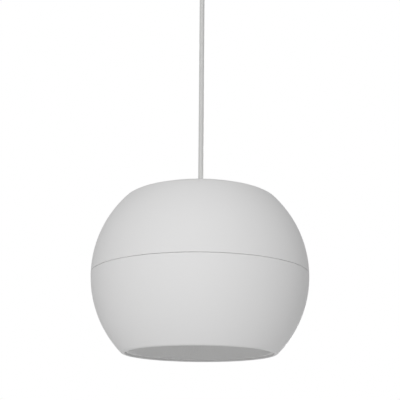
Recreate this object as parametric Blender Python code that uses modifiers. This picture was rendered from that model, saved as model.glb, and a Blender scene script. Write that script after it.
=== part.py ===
"""A round pendant loudspeaker on its ceiling fitting, in metres with +Z up.

The origin is the middle of the fitting's top face, where it meets the ceiling. Everything
hangs below it: the fitting, the cord, and a two-piece ball housing with a grille in its mouth.
"""

import math

import bmesh
import bpy
from mathutils import Matrix, Vector

# Fits and facets
FIT = 0.0003
THREAD_FIT = 0.0004
SHELL_SIDES = 32
ROUND_SIDES = 20
SMALL_SIDES = 16
SCREW_SIDES = 8
STOP_SIDES = 12
PUNCH_SIDES = 6
CORD_POINTS = 21

# Ceiling cup and strap
CUP_RADIUS = 0.040
CUP_HEIGHT = 0.046
CUP_WALL = 0.0025
CUP_SKIRT = 0.017
CUP_FOOT_RADIUS = 0.012
CEILING_GAP = 0.0005
STRAP_THICKNESS = 0.002
STRAP_WIDTH = 0.020
STRAP_BEND = 0.003
EAR_LENGTH = 0.015
CUP_SCREW_DROP = 0.009
SLOT_OFFSET = 0.0265
SLOT_LENGTH = 0.0085
SLOT_WIDTH = 0.005

# Bail, strand and its ferrule
BAIL_WIRE_RADIUS = 0.0015
BAIL_HALF_WIDTH = 0.007
BAIL_DROP = 0.016
STRAND_RADIUS = 0.0009
STRAND_SPACING = 0.0022
FERRULE_HEIGHT = 0.006
FERRULE_WALL = 0.0009

# Cord, cord grip and gland
CORD_RADIUS = 0.0031
CORD_DROP = 0.260
CORE_RADIUS = 0.001
CORE_SPACING = 0.0026
STRAND_OFFSET = 0.0014
GRIP_DROP = 0.006
GRIP_RADIUS = 0.009
GRIP_SHANK_RADIUS = 0.005
GRIP_SHANK_RISE = 0.008
GRIP_NUT_HEIGHT = 0.004
GRIP_NUT_RADIUS = 0.009
CORD_END_RISE = 0.0005
GLAND_RADIUS = 0.010
GLAND_HEIGHT = 0.008
GLAND_SHOULDER = 0.0035
GLAND_EDGE = 0.001
GLAND_TIP_WALL = 0.0022
GLAND_SHANK_RADIUS = 0.006
GLAND_SHANK_DROP = 0.014
GLAND_NUT_RADIUS = 0.010
GLAND_NUT_HEIGHT = 0.005
STOP_RADIUS = 0.0055
STOP_HEIGHT = 0.010
CORD_TAIL = 0.0025

# Housing shells
BODY_RADIUS = 0.130
WALL = 0.003
CROWN_CUT = 0.0203
CROWN_RADIUS = 0.254
SHOULDER_RADIUS = 0.0182
CROWN_PAD_RADIUS = 0.0115
CROWN_PAD_EDGE = 0.001
CROWN_BOSS_RADIUS = 0.014
CROWN_BOSS_HEIGHT = 0.003
SEAM_EDGE = 0.0005
SPIGOT_DEPTH = 0.006
SPIGOT_WALL = 0.0022
SPIGOT_RISE = 0.005

# Mouth of the lower shell, round the driver's rim
LIP_RADIUS = 0.005
LIP_LAND = 0.00088
LIP_BEVEL = 0.0004
COLLAR_WALL = 0.003
RIM_CLEARANCE = 0.0032
GRILLE_SEAT = 0.0015
GRILLE_RECESS = 0.0025
GRILLE_HEIGHT = 0.0045
FLANGE_DEPTH = 0.0133
FLANGE_THICKNESS = 0.003
FLANGE_STEP = 0.002

# Grille pan
GRILLE_THICKNESS = 0.001
GRILLE_EDGE = 0.0006
GRILLE_HOLE_RADIUS = 0.0064
GRILLE_PITCH = 0.0215
GRILLE_MARGIN = 0.0025

# Driver basket, from its rim's back face up
RIM_INNER_RADIUS = 0.066
RIM_WIDTH = 0.0165
RIM_TURN = (0.0015, 0.002)
SHEET = 0.0012
BASKET_FLARE = 0.019
BASKET_HEIGHT = 0.027
WINDOW_INSET = (0.0022, 0.0030)
SHELF_WIDTH = 0.008
BACK_HEIGHT = 0.035
BACK_OUTER_RADIUS = 0.036
BACK_INNER_RADIUS = 0.020
SPOKE_ANGLE = math.radians(17)
SPOKES = 4
GASKET_THICKNESS = 0.0012
SCREW_INSET = 0.005
DRIVER_BOSS_RADIUS = 0.0045
DRIVER_BOSS_HEIGHT = 0.011
DRIVER_BOSS_FLOOR = 0.002
RIM_RING_STEP = 0.0008
RIM_RING_WIDTH = 0.0052
RIM_RING_THICKNESS = 0.0015

# Magnet and voice coil
PLATE_THICKNESS = 0.005
PLATE_RADIUS = 0.036
MAGNET_RADIUS = 0.0425
MAGNET_BORE = 0.022
MAGNET_THICKNESS = 0.015
YOKE_RADIUS = 0.0375
YOKE_THICKNESS = 0.005
COIL_INNER_RADIUS = 0.0127
FORMER_WALL = 0.0004
WINDING_WALL = 0.0006
FORMER_FRONT = 0.0165
FORMER_SPARE = 0.001
CONE_TRAVEL = 0.003
COIL_GAP = 0.0006

# Cone, its suspension and dust cap
PAPER = 0.0006
SURROUND_WIDTH = 0.0085
SURROUND_STEP = 0.0010
CONE_FLANGE = 0.003
CONE_EDGE_HEIGHT = 0.0026
CONE_NECK_HEIGHT = 0.019
CONE_SWEEP = 1.35
CONE_STEPS = 5
CAP_RADIUS = 0.017
CAP_RISE = 0.0065
SURROUND_WALL = 0.0005
SPIDER_WALL = 0.0004
SPIDER_NECK_HEIGHT = 0.0225
SPIDER_WAVES = 3
SPIDER_WAVE_HEIGHT = 0.0011
SPIDER_SHELF = 0.0060
SPIDER_COLLAR = (0.002, 0.0008)

# Tag board and tinsel leads
TAG_BOARD = (0.0016, 0.018, 0.009)
TAG = (0.0008, 0.009, 0.003)
TAG_OFFSET = 0.0085
TINSEL_RADIUS = 0.0005
TINSEL_REACH = 0.0236
TINSEL_SPREAD = 0.0050
TINSEL_RISE = 0.0036

# Line transformer
TRANSFORMER_X = 0.046
CORE_WIDTH = 0.041
CORE_HEIGHT = 0.034
CORE_STACK = 0.014
CORE_LEG = 0.007
WINDING_REACH = 0.016
TRANSFORMER_DROP = 0.0217
STRAP_HOLE_OFFSET = 0.028
BAND_WIDTH = 0.012
BAND_FOOT = 0.007

# Terminal block in the housing
BLOCK_X = -0.045
BLOCK = (0.014, 0.038, 0.012)
BLOCK_DROP = 0.0297
BLOCK_EDGE = 0.0006
BLOCK_HOLE_OFFSET = 0.014
BLOCK_ENTRY_OFFSET = 0.005
BLOCK_ENTRY_RADIUS = 0.0018
BLOCK_ENTRY_DEPTH = 0.005
POST_RADIUS = 0.004
POST_BORE_DEPTH = 0.009

# Leads inside the housing: how far they stand off, hang down, spread and sweep round
LEAD_STAND = 0.010
LEAD_DIP = 0.024
LEAD_SPREAD = 0.010
LEAD_SWEEP = 0.083
LEAD_DROP = 0.011

# Terminal block in the cup
CEILING_BLOCK_X = 0.0155
CEILING_BLOCK = (0.012, 0.020, 0.012)

# Screws: head radius, head height, shank radius, shank length
CUP_SCREW = (0.0036, 0.0022, 0.0019, 0.0085)
DRIVER_SCREW = (0.0034, 0.0022, 0.0019, 0.0145)
SMALL_SCREW = (0.0028, 0.0018, 0.0014, 0.0080)
BLOCK_SCREW = (0.0028, 0.0018, 0.0014, 0.0180)
GRUB_RADIUS = 0.0013

# Sizes and heights that follow from those above
RIM_RADIUS = RIM_INNER_RADIUS + RIM_WIDTH
SCREW_CIRCLE = RIM_RADIUS - SCREW_INSET
FLANGE_RADIUS = RIM_INNER_RADIUS + FLANGE_STEP
CONE_RADIUS = RIM_INNER_RADIUS - SURROUND_WIDTH
BASKET_NECK_RADIUS = RIM_INNER_RADIUS - BASKET_FLARE
SHELF_INNER_RADIUS = BASKET_NECK_RADIUS - SHELF_WIDTH
MOUTH_RADIUS = RIM_RADIUS + RIM_CLEARANCE + GRILLE_SEAT
COLLAR_RADIUS = MOUTH_RADIUS + COLLAR_WALL
LIP_CENTER = MOUTH_RADIUS + LIP_BEVEL + LIP_LAND
MOUTH_DROP = LIP_RADIUS + math.sqrt((BODY_RADIUS - LIP_RADIUS) ** 2 - LIP_CENTER ** 2)
CROWN_HEIGHT = BODY_RADIUS - CROWN_CUT
MOUNT_HEIGHT = CROWN_HEIGHT - TRANSFORMER_DROP
BLOCK_MOUNT_HEIGHT = CROWN_HEIGHT - BLOCK_DROP
GRIP_BOTTOM = -CUP_HEIGHT - GRIP_DROP
SEAM_HEIGHT = GRIP_BOTTOM - CORD_DROP - GLAND_HEIGHT - CROWN_HEIGHT
FLANGE_FRONT = -MOUTH_DROP + FLANGE_DEPTH
FLANGE_BACK = FLANGE_FRONT + FLANGE_THICKNESS
RIM_BACK = FLANGE_FRONT - GASKET_THICKNESS - 2 * FIT
BOSS_FACE = CROWN_HEIGHT - WALL - CROWN_BOSS_HEIGHT
GLAND_BOTTOM = CROWN_HEIGHT - GLAND_SHANK_DROP
STOP_BOTTOM = GLAND_BOTTOM - FIT - STOP_HEIGHT
CORD_BOTTOM = STOP_BOTTOM - CORD_TAIL
CORD_TOP = -CUP_HEIGHT + CUP_WALL + GRIP_SHANK_RISE + CORD_END_RISE


def clear_scene():
    for old in list(bpy.data.objects):
        bpy.data.objects.remove(old, do_unlink=True)


def new_collection(name):
    group = bpy.data.collections.new(name)
    bpy.context.scene.collection.children.link(group)
    return group


def new_look(name, color, roughness, metallic=0.0):
    look = bpy.data.materials.new(name)
    look.use_nodes = True
    shader = look.node_tree.nodes["Principled BSDF"]
    shader.inputs["Base Color"].default_value = (*color, 1.0)
    shader.inputs["Roughness"].default_value = roughness
    shader.inputs["Metallic"].default_value = metallic
    return look


def new_empty(name, location=(0, 0, 0), home=None, turn=0.0):
    empty = bpy.data.objects.new(name, None)
    empty.location = location
    empty.rotation_euler.z = turn
    empty.parent = home
    PIECES.objects.link(empty)
    return empty


def add_piece(name, data, look, home, location=(0, 0, 0)):
    piece = bpy.data.objects.new(name, data)
    piece.location = location
    piece.parent = home
    PIECES.objects.link(piece)
    data.materials.append(look)
    return piece


def add_cutter(name, data, home, location=(0, 0, 0)):
    cutter = bpy.data.objects.new(name, data)
    cutter.location = location
    cutter.parent = home
    cutter.hide_render = True
    cutter.display_type = "WIRE"
    CUTTERS.objects.link(cutter)
    return cutter


def combine(piece, other, operation):
    step = piece.modifiers.new(operation.title(), "BOOLEAN")
    step.operation = operation
    step.object = other


def mesh_from(form, name):
    mesh = bpy.data.meshes.new(name)
    form.to_mesh(mesh)
    form.free()
    return mesh


def box_mesh(name, size, center=(0, 0, 0)):
    form = bmesh.new()
    bmesh.ops.create_cube(form, size=1.0)
    bmesh.ops.scale(form, vec=size, verts=form.verts)
    bmesh.ops.translate(form, vec=center, verts=form.verts)
    return mesh_from(form, name)


def rod_mesh(name, radius, length, places, sides=SCREW_SIDES, axis="Z"):
    """Round rods of one size, each centred on its place."""
    form = bmesh.new()
    turn = Matrix.Rotation(math.pi / 2, 4, "Y") if axis == "X" else Matrix()
    for place in places:
        bmesh.ops.create_cone(
            form, cap_ends=True, segments=sides, radius1=radius, radius2=radius,
            depth=length, matrix=Matrix.Translation(place) @ turn)
    return mesh_from(form, name)


def arc(center, radius, start, end, steps):
    """Points on an arc in a profile, with its angles in radians from the +radius direction."""
    angles = [start + (end - start) * step / steps for step in range(steps + 1)]
    return [(center[0] + radius * math.cos(angle), center[1] + radius * math.sin(angle))
            for angle in angles]


def spin_profile(piece, sides):
    spin = piece.modifiers.new("Turn", "SCREW")
    spin.steps = sides
    spin.render_steps = sides
    spin.use_merge_vertices = True
    spin.merge_threshold = 0.00001


def profile_mesh(name, points, closed):
    form = bmesh.new()
    corners = [form.verts.new((radius, 0, height)) for radius, height in points]
    ends = corners[1:] + corners[:1] if closed else corners[1:]
    for first, second in zip(corners, ends):
        form.edges.new((first, second))
    return mesh_from(form, name)


def turned(name, points, look, home, location=(0, 0, 0), sides=SMALL_SIDES):
    """A turned solid. Its outline runs down the outer side, and closes unless it ends on the axis."""
    closed = points[0][0] > 0
    piece = add_piece(name, profile_mesh(name, points, closed), look, home, location)
    spin_profile(piece, sides)
    return piece


def turned_sheet(name, points, thickness, look, home, sides=ROUND_SIDES):
    """A thin turned sheet, from the line through the middle of its thickness."""
    piece = add_piece(name, profile_mesh(name, points, False), look, home)
    spin_profile(piece, sides)
    wall = piece.modifiers.new("Wall", "SOLIDIFY")
    wall.thickness = thickness
    wall.offset = 0
    wall.use_even_offset = True
    return piece


def washer(inner, outer, bottom, top):
    return [(outer, top), (outer, bottom), (inner, bottom), (inner, top)]


def outline_mesh(name, outlines, thickness):
    """A flat piece cut to a closed outline, centred in its thickness. Any further outlines are holes."""
    flat = bpy.data.curves.new(name, "CURVE")
    flat.dimensions = "2D"
    flat.fill_mode = "BOTH"
    flat.extrude = thickness / 2
    for outline in outlines:
        line = flat.splines.new("POLY")
        line.points.add(len(outline) - 1)
        for point, (x, y) in zip(line.points, outline):
            point.co = (x, y, 0, 1)
        line.use_cyclic_u = True
    return solid_from(name, flat)


def solid_from(name, curve):
    """A curve's closed mesh, with its caps welded on."""
    source = bpy.data.objects.new(name + "_curve", curve)
    bpy.context.scene.collection.objects.link(source)
    graph = bpy.context.evaluated_depsgraph_get()
    mesh = bpy.data.meshes.new_from_object(source.evaluated_get(graph))
    bpy.data.objects.remove(source)
    form = bmesh.new()
    form.from_mesh(mesh)
    bmesh.ops.remove_doubles(form, verts=form.verts, dist=0.00001)
    bmesh.ops.recalc_face_normals(form, faces=form.faces)
    form.to_mesh(mesh)
    form.free()
    mesh.name = name
    mesh.materials.clear()
    return mesh


def circle(radius, sides, center=(0, 0), phase=0.0):
    angles = [phase + 2 * math.pi * step / sides for step in range(sides)]
    return [(center[0] + radius * math.cos(angle), center[1] + radius * math.sin(angle))
            for angle in angles]


def rectangle(width, height, center=(0, 0)):
    x, y = width / 2, height / 2
    return [(center[0] + i * x, center[1] + j * y) for i, j in ((-1, -1), (1, -1), (1, 1), (-1, 1))]


def stadium(width, height, steps=4):
    """An oval of two half circles, long along Y."""
    radius, reach = width / 2, (height - width) / 2
    top = arc((0, reach), radius, 0, math.pi, steps)
    return top + [(-x, -y) for x, y in top]


def tube(name, points, radius, look, home, rounding=1):
    """A round wire, lead or cord along its points."""
    line = bpy.data.curves.new(name, "CURVE")
    line.dimensions = "3D"
    line.bevel_depth = radius
    line.bevel_resolution = rounding
    line.use_fill_caps = True
    run = line.splines.new("POLY")
    run.points.add(len(points) - 1)
    for point, place in zip(run.points, points):
        point.co = (*place, 1)
    return add_piece(name, line, look, home)


def smooth_route(points, steps=2):
    """A smooth line through the points, with a few steps between each pair."""
    places = [Vector(point) for point in points]
    places = [2 * places[0] - places[1], *places, 2 * places[-1] - places[-2]]
    route = []
    for a, b, c, d in zip(places, places[1:], places[2:], places[3:]):
        for step in range(steps):
            t = step / steps
            route.append(0.5 * (2 * b + (c - a) * t + (2 * a - 5 * b + 4 * c - d) * t ** 2
                                + (3 * b - a - 3 * c + d) * t ** 3))
    return route + [places[-2]]


def ribbon(name, path, width, thickness, look, home, location=(0, 0, 0)):
    """A bent strip in the XZ plane, from the line through the middle of its thickness."""
    form = bmesh.new()
    row = [form.verts.new((x, -width / 2, z)) for x, z in path]
    edges = [form.edges.new(pair) for pair in zip(row, row[1:])]
    new = bmesh.ops.extrude_edge_only(form, edges=edges)["geom"]
    moved = [item for item in new if isinstance(item, bmesh.types.BMVert)]
    bmesh.ops.translate(form, vec=(0, width, 0), verts=moved)
    piece = add_piece(name, mesh_from(form, name), look, home, location)
    wall = piece.modifiers.new("Wall", "SOLIDIFY")
    wall.thickness = thickness
    wall.offset = 0
    wall.use_even_offset = True
    return piece


def screw(name, sizes, look, home, place, turn=(0, 0, 0)):
    """A round-headed screw whose head stands up along its own +Z and whose shank points down."""
    head_radius, head_height, shank_radius, length = sizes
    points = [
        (0, head_height),
        (head_radius * 0.65, head_height * 0.85),
        (head_radius, head_height * 0.3),
        (head_radius, 0),
        (shank_radius, 0),
        (shank_radius, -length + shank_radius),
        (0, -length)]
    piece = turned(name, points, look, home, place, SCREW_SIDES)
    piece.rotation_euler = turn
    return piece


def polar(radius, angle, height):
    return (radius * math.cos(angle), radius * math.sin(angle), height)


def spoke_angles():
    return [math.pi / SPOKES + 2 * math.pi * index / SPOKES for index in range(SPOKES)]


def sphere_height(radius, at):
    return math.sqrt(radius ** 2 - at ** 2)


def crown_center():
    return CROWN_HEIGHT - CROWN_RADIUS


def shoulder_center():
    """Centre of the fillet that touches the crown and the ball from inside."""
    to_crown = CROWN_RADIUS - SHOULDER_RADIUS
    to_ball = BODY_RADIUS - SHOULDER_RADIUS
    drop = crown_center()
    height = (to_crown ** 2 - to_ball ** 2 - drop ** 2) / (-2 * drop)
    return math.sqrt(to_ball ** 2 - height ** 2), height


def dome_line(inset, start_radius, end_height, steps):
    """The housing's upper outline, inset from the outside, from near the axis down to a height."""
    center, height = shoulder_center()
    crown = CROWN_RADIUS - inset
    first = math.acos(start_radius / crown)
    crown_end = math.atan2(height - crown_center(), center)
    ball_start = math.atan2(height, center)
    ball_end = math.asin(end_height / (BODY_RADIUS - inset))
    over, round_, down = steps
    return (arc((0, crown_center()), crown, first, crown_end, over)[:-1]
            + arc((center, height), SHOULDER_RADIUS - inset, crown_end, ball_start, round_)[:-1]
            + arc((0, 0), BODY_RADIUS - inset, ball_start, ball_end, down))


def make_ceiling_bracket():
    cup_inside = CUP_RADIUS - CUP_WALL
    ear_face = math.sqrt(cup_inside ** 2 - (STRAP_WIDTH / 2) ** 2) - 2 * FIT
    half, middle = STRAP_THICKNESS / 2, STRAP_BEND - STRAP_THICKNESS / 2
    bend = arc((ear_face - STRAP_BEND, -STRAP_BEND), middle, 0, math.pi / 2, 3)
    side = [(ear_face - half, -EAR_LENGTH)] + bend
    path = side + [(-x, z) for x, z in reversed(side)]
    bracket = ribbon("ceiling_bracket", path, STRAP_WIDTH, STRAP_THICKNESS, STEEL, CEILING)
    slot = outline_mesh("slot", [[(y, x) for x, y in stadium(SLOT_WIDTH, SLOT_LENGTH)]], 4 * STRAP_THICKNESS)
    for sign in (-1, 1):
        combine(bracket, add_cutter("slot", slot, CEILING, (sign * SLOT_OFFSET, 0, 0)), "DIFFERENCE")
    ears = rod_mesh("ear_holes", CUP_SCREW[2] + THREAD_FIT, 3 * CUP_RADIUS,
                    [(0, 0, -CUP_SCREW_DROP)], SCREW_SIDES, "X")
    combine(bracket, add_cutter("ear_holes", ears, CEILING), "DIFFERENCE")
    tapped = rod_mesh("block_hole", SMALL_SCREW[2] + THREAD_FIT, 4 * STRAP_THICKNESS,
                      [(CEILING_BLOCK_X, 0, 0)])
    combine(bracket, add_cutter("block_hole", tapped, CEILING), "DIFFERENCE")


def make_ceiling_cup():
    def wall_line(inset):
        """The skirt, then a quarter round down to the flat foot."""
        reach = CUP_RADIUS - CUP_FOOT_RADIUS - inset
        depth = CUP_HEIGHT - CUP_SKIRT - inset
        angles = [math.pi / 2 * step / 5 for step in range(6)]
        return [(CUP_FOOT_RADIUS + reach * math.cos(angle), -CUP_SKIRT - depth * math.sin(angle))
                for angle in angles]

    hole = GRIP_SHANK_RADIUS + FIT
    rim = -CEILING_GAP
    points = [(CUP_RADIUS, rim), *wall_line(0), (hole, -CUP_HEIGHT)]
    points += [(hole, -CUP_HEIGHT + CUP_WALL), *reversed(wall_line(CUP_WALL)), (CUP_RADIUS - CUP_WALL, rim)]
    cup = turned("ceiling_cup", points, WHITE_PLASTIC, CEILING, sides=ROUND_SIDES)
    holes = rod_mesh("cup_holes", CUP_SCREW[2] + FIT, 3 * CUP_RADIUS, [(0, 0, -CUP_SCREW_DROP)],
                     SCREW_SIDES, "X")
    combine(cup, add_cutter("cup_holes", holes, CEILING), "DIFFERENCE")
    seat = CUP_RADIUS + FIT
    for name, sign in (("cup_screw_left", -1), ("cup_screw_right", 1)):
        screw(name, CUP_SCREW, STEEL, CEILING, (sign * seat, 0, -CUP_SCREW_DROP), (0, sign * math.pi / 2, 0))


def make_ceiling_terminal():
    width, _, height = CEILING_BLOCK
    top = -STRAP_THICKNESS - FIT
    block = add_piece("ceiling_terminal", box_mesh("ceiling_terminal", CEILING_BLOCK), NYLON, CEILING,
                      (CEILING_BLOCK_X, 0, top - height / 2))
    edges = block.modifiers.new("Edges", "BEVEL")
    edges.width = BLOCK_EDGE
    screw_hole = rod_mesh("screw_hole", SMALL_SCREW[2] + FIT, 2 * height, [(0, 0, 0)])
    combine(block, add_cutter("screw_hole", screw_hole, block), "DIFFERENCE")
    entries = [(sign * width / 2, side * BLOCK_ENTRY_OFFSET, 0) for sign in (-1, 1) for side in (-1, 1)]
    entry_holes = rod_mesh("entry_holes", BLOCK_ENTRY_RADIUS, 2 * BLOCK_ENTRY_DEPTH, entries,
                           SCREW_SIDES, "X")
    combine(block, add_cutter("entry_holes", entry_holes, block), "DIFFERENCE")
    head = top - height - FIT
    sizes = (*SMALL_SCREW[:3], height + STRAP_THICKNESS + FIT)
    screw("ceiling_terminal_screw", sizes, STEEL, CEILING, (CEILING_BLOCK_X, 0, head), (math.pi, 0, 0))


def make_strand():
    """The bail under the strap, and the strand's eye round it, crimped in an oval sleeve."""
    seat = -STRAP_THICKNESS - FIT
    bottom = -BAIL_DROP
    bend = arc((0, bottom + BAIL_HALF_WIDTH), BAIL_HALF_WIDTH, 0, -math.pi, 8)
    bail = [(BAIL_HALF_WIDTH, seat), *bend, (-BAIL_HALF_WIDTH, seat)]
    tube("strand_bail", [(x, 0, z) for x, z in bail], BAIL_WIRE_RADIUS, STEEL, CEILING)
    eye = BAIL_WIRE_RADIUS + STRAND_RADIUS + 2 * FIT
    side = STRAND_SPACING / 2
    sleeve_top = bottom - 2 * eye
    sleeve_bottom = sleeve_top - FERRULE_HEIGHT
    over = arc((0, bottom), eye, -math.pi / 6, 7 * math.pi / 6, 8)
    exit_ = [(-STRAND_OFFSET, 0, CORD_TOP + FIT), (-STRAND_OFFSET, 0, CORD_TOP + FIT + STRAND_RADIUS)]
    up = [(side, sleeve_bottom - FIT), (side, sleeve_top)]
    down = [(-side, sleeve_top), (-side, sleeve_bottom - FIT)]
    eye_points = [(0, y, z) for y, z in up + over + down]
    tube("strand_loop", exit_ + eye_points, STRAND_RADIUS, STEEL, CEILING)
    bore = 2 * (STRAND_RADIUS + FIT)
    inside = stadium(bore, bore + STRAND_SPACING)
    outside = stadium(bore + 2 * FERRULE_WALL, bore + STRAND_SPACING + 2 * FERRULE_WALL)
    add_piece("loop_ferrule", outline_mesh("loop_ferrule", [outside, inside], FERRULE_HEIGHT), COPPER,
              CEILING, (0, 0, (sleeve_top + sleeve_bottom) / 2))


def make_cord_grip():
    bore = CORD_RADIUS + FIT
    floor = -CUP_HEIGHT + CUP_WALL
    top = floor + GRIP_SHANK_RISE
    collar = -CUP_HEIGHT - FIT
    points = [
        (GRIP_SHANK_RADIUS, top),
        (GRIP_SHANK_RADIUS, collar),
        (GRIP_RADIUS, collar),
        (GRIP_RADIUS, GRIP_BOTTOM + GRIP_DROP / 4),
        (GRIP_RADIUS * 0.85, GRIP_BOTTOM),
        (bore, GRIP_BOTTOM),
        (bore, top)]
    grip = turned("cord_grip", points, WHITE_NYLON, CEILING)
    height = GRIP_BOTTOM + GRIP_DROP / 2
    hole = rod_mesh("grub_hole", GRUB_RADIUS + THREAD_FIT, 2 * (GRIP_RADIUS - CORD_RADIUS),
                    [(GRIP_RADIUS, 0, height)], SCREW_SIDES, "X")
    combine(grip, add_cutter("grub_hole", hole, CEILING), "DIFFERENCE")
    reach = GRIP_RADIUS - CORD_RADIUS - FIT
    grub = rod_mesh("cord_grip_screw", GRUB_RADIUS, reach, [(CORD_RADIUS + FIT + reach / 2, 0, height)],
                    SCREW_SIDES, "X")
    add_piece("cord_grip_screw", grub, STEEL, CEILING)
    nut = [circle(GRIP_NUT_RADIUS, 6), circle(GRIP_SHANK_RADIUS + THREAD_FIT, SMALL_SIDES)]
    add_piece("cord_grip_nut", outline_mesh("cord_grip_nut", nut, GRIP_NUT_HEIGHT), WHITE_NYLON, CEILING,
              (0, 0, floor + FIT + GRIP_NUT_HEIGHT / 2))


def make_ceiling_cores():
    entry = CEILING_BLOCK_X - CEILING_BLOCK[0] / 2 + BLOCK_ENTRY_DEPTH / 2
    height = -STRAP_THICKNESS - FIT - CEILING_BLOCK[2] / 2
    for name, side in (("ceiling_core_a", -1), ("ceiling_core_b", 1)):
        start = side * CORE_SPACING / 2
        route = [
            (0.0007, start, CORD_TOP + FIT),
            (0.0008, start, CORD_TOP + 0.0020),
            (0.0036, side * 0.0032, CORD_TOP + 0.0068),
            (0.0052, side * 0.0050, CORD_TOP + 0.0140),
            (0.0048, side * 0.0054, height - 0.0060),
            (0.0062, side * 0.0051, height - 0.0012),
            (entry, side * BLOCK_ENTRY_OFFSET, height)]
        tube(name, smooth_route(route), CORE_RADIUS, CORE_LOOKS[name[-1]], CEILING)


def make_cord():
    """The cord hangs straight, from its crimped stop inside the crown up into the cup."""
    bottom = SEAM_HEIGHT + CORD_BOTTOM
    heights = [bottom + (CORD_TOP - bottom) * index / (CORD_POINTS - 1) for index in range(CORD_POINTS)]
    tube("cord", [(0, 0, height) for height in heights], CORD_RADIUS, CORD_LOOK, CEILING, 2)


def make_gland():
    bore = CORD_RADIUS + FIT
    seat = CROWN_HEIGHT + FIT
    top = CROWN_HEIGHT + GLAND_HEIGHT
    points = [
        (bore + GLAND_TIP_WALL / 2, top),
        (bore + GLAND_TIP_WALL, top - GLAND_TIP_WALL / 2),
        (GLAND_RADIUS - GLAND_EDGE, seat + GLAND_SHOULDER),
        (GLAND_RADIUS, seat + GLAND_SHOULDER - GLAND_EDGE),
        (GLAND_RADIUS, seat),
        (GLAND_SHANK_RADIUS, seat),
        (GLAND_SHANK_RADIUS, GLAND_BOTTOM),
        (bore, GLAND_BOTTOM),
        (bore, top)]
    turned("cord_gland", points, WHITE_NYLON, HOUSING)
    nut = [circle(GLAND_NUT_RADIUS, 6), circle(GLAND_SHANK_RADIUS + THREAD_FIT, SMALL_SIDES)]
    add_piece("gland_nut", outline_mesh("gland_nut", nut, GLAND_NUT_HEIGHT), WHITE_NYLON, HOUSING,
              (0, 0, BOSS_FACE - FIT - GLAND_NUT_HEIGHT / 2))
    turned("cord_stop", washer(bore, STOP_RADIUS, STOP_BOTTOM, STOP_BOTTOM + STOP_HEIGHT), COPPER, HOUSING,
           sides=STOP_SIDES)


def post_places():
    """Where the posts under the crown stand: each is its x, its y and the height of its foot."""
    places = [(TRANSFORMER_X, side * STRAP_HOLE_OFFSET, MOUNT_HEIGHT) for side in (-1, 1)]
    return places + [(BLOCK_X, side * BLOCK_HOLE_OFFSET, BLOCK_MOUNT_HEIGHT) for side in (-1, 1)]


def make_upper_shell():
    hole = GLAND_SHANK_RADIUS + FIT
    edge = FIT / 2
    outer = dome_line(0, CROWN_PAD_RADIUS + CROWN_PAD_EDGE, SEAM_EDGE + edge, (2, 3, 5))
    inner = dome_line(WALL, CROWN_BOSS_RADIUS, SPIGOT_RISE, (1, 1, 4))
    spigot = socket_radius() - FIT
    points = [(hole, CROWN_HEIGHT), (CROWN_PAD_RADIUS, CROWN_HEIGHT), *outer]
    points += [
        (BODY_RADIUS - SEAM_EDGE, edge),
        (spigot, edge),
        (spigot, -SPIGOT_DEPTH + SEAM_EDGE),
        (spigot - SEAM_EDGE, -SPIGOT_DEPTH),
        (spigot - SPIGOT_WALL, -SPIGOT_DEPTH),
        (spigot - SPIGOT_WALL, 0)]
    points += [*reversed(inner), (CROWN_BOSS_RADIUS, BOSS_FACE), (hole, BOSS_FACE)]
    shell = turned("upper_shell", points, WHITE_PLASTIC, HOUSING, sides=SHELL_SIDES)
    for index, (x, y, foot) in enumerate(post_places()):
        reach = math.hypot(x, y) + POST_RADIUS
        top = crown_center() + sphere_height(CROWN_RADIUS, reach) - WALL / 2
        post = rod_mesh("post", POST_RADIUS, top - foot, [(x, y, (top + foot) / 2)])
        combine(shell, add_cutter(f"post_{index + 1}", post, HOUSING), "UNION")
        pilot = rod_mesh("pilot", SMALL_SCREW[2] + THREAD_FIT, 2 * POST_BORE_DEPTH, [(x, y, foot)])
        combine(shell, add_cutter(f"pilot_{index + 1}", pilot, HOUSING), "DIFFERENCE")


def socket_radius():
    """The straight bore at the top of the lower shell, which the spigot of the upper one enters."""
    return sphere_height(BODY_RADIUS - WALL, SPIGOT_DEPTH + FIT)


def lip_points():
    """The rounded lip, from where it leaves the ball to where it meets the flat mouth."""
    height = -MOUTH_DROP + LIP_RADIUS
    start = math.atan2(height, LIP_CENTER)
    return arc((LIP_CENTER, height), LIP_RADIUS, start, -math.pi / 2, 3), start


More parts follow.
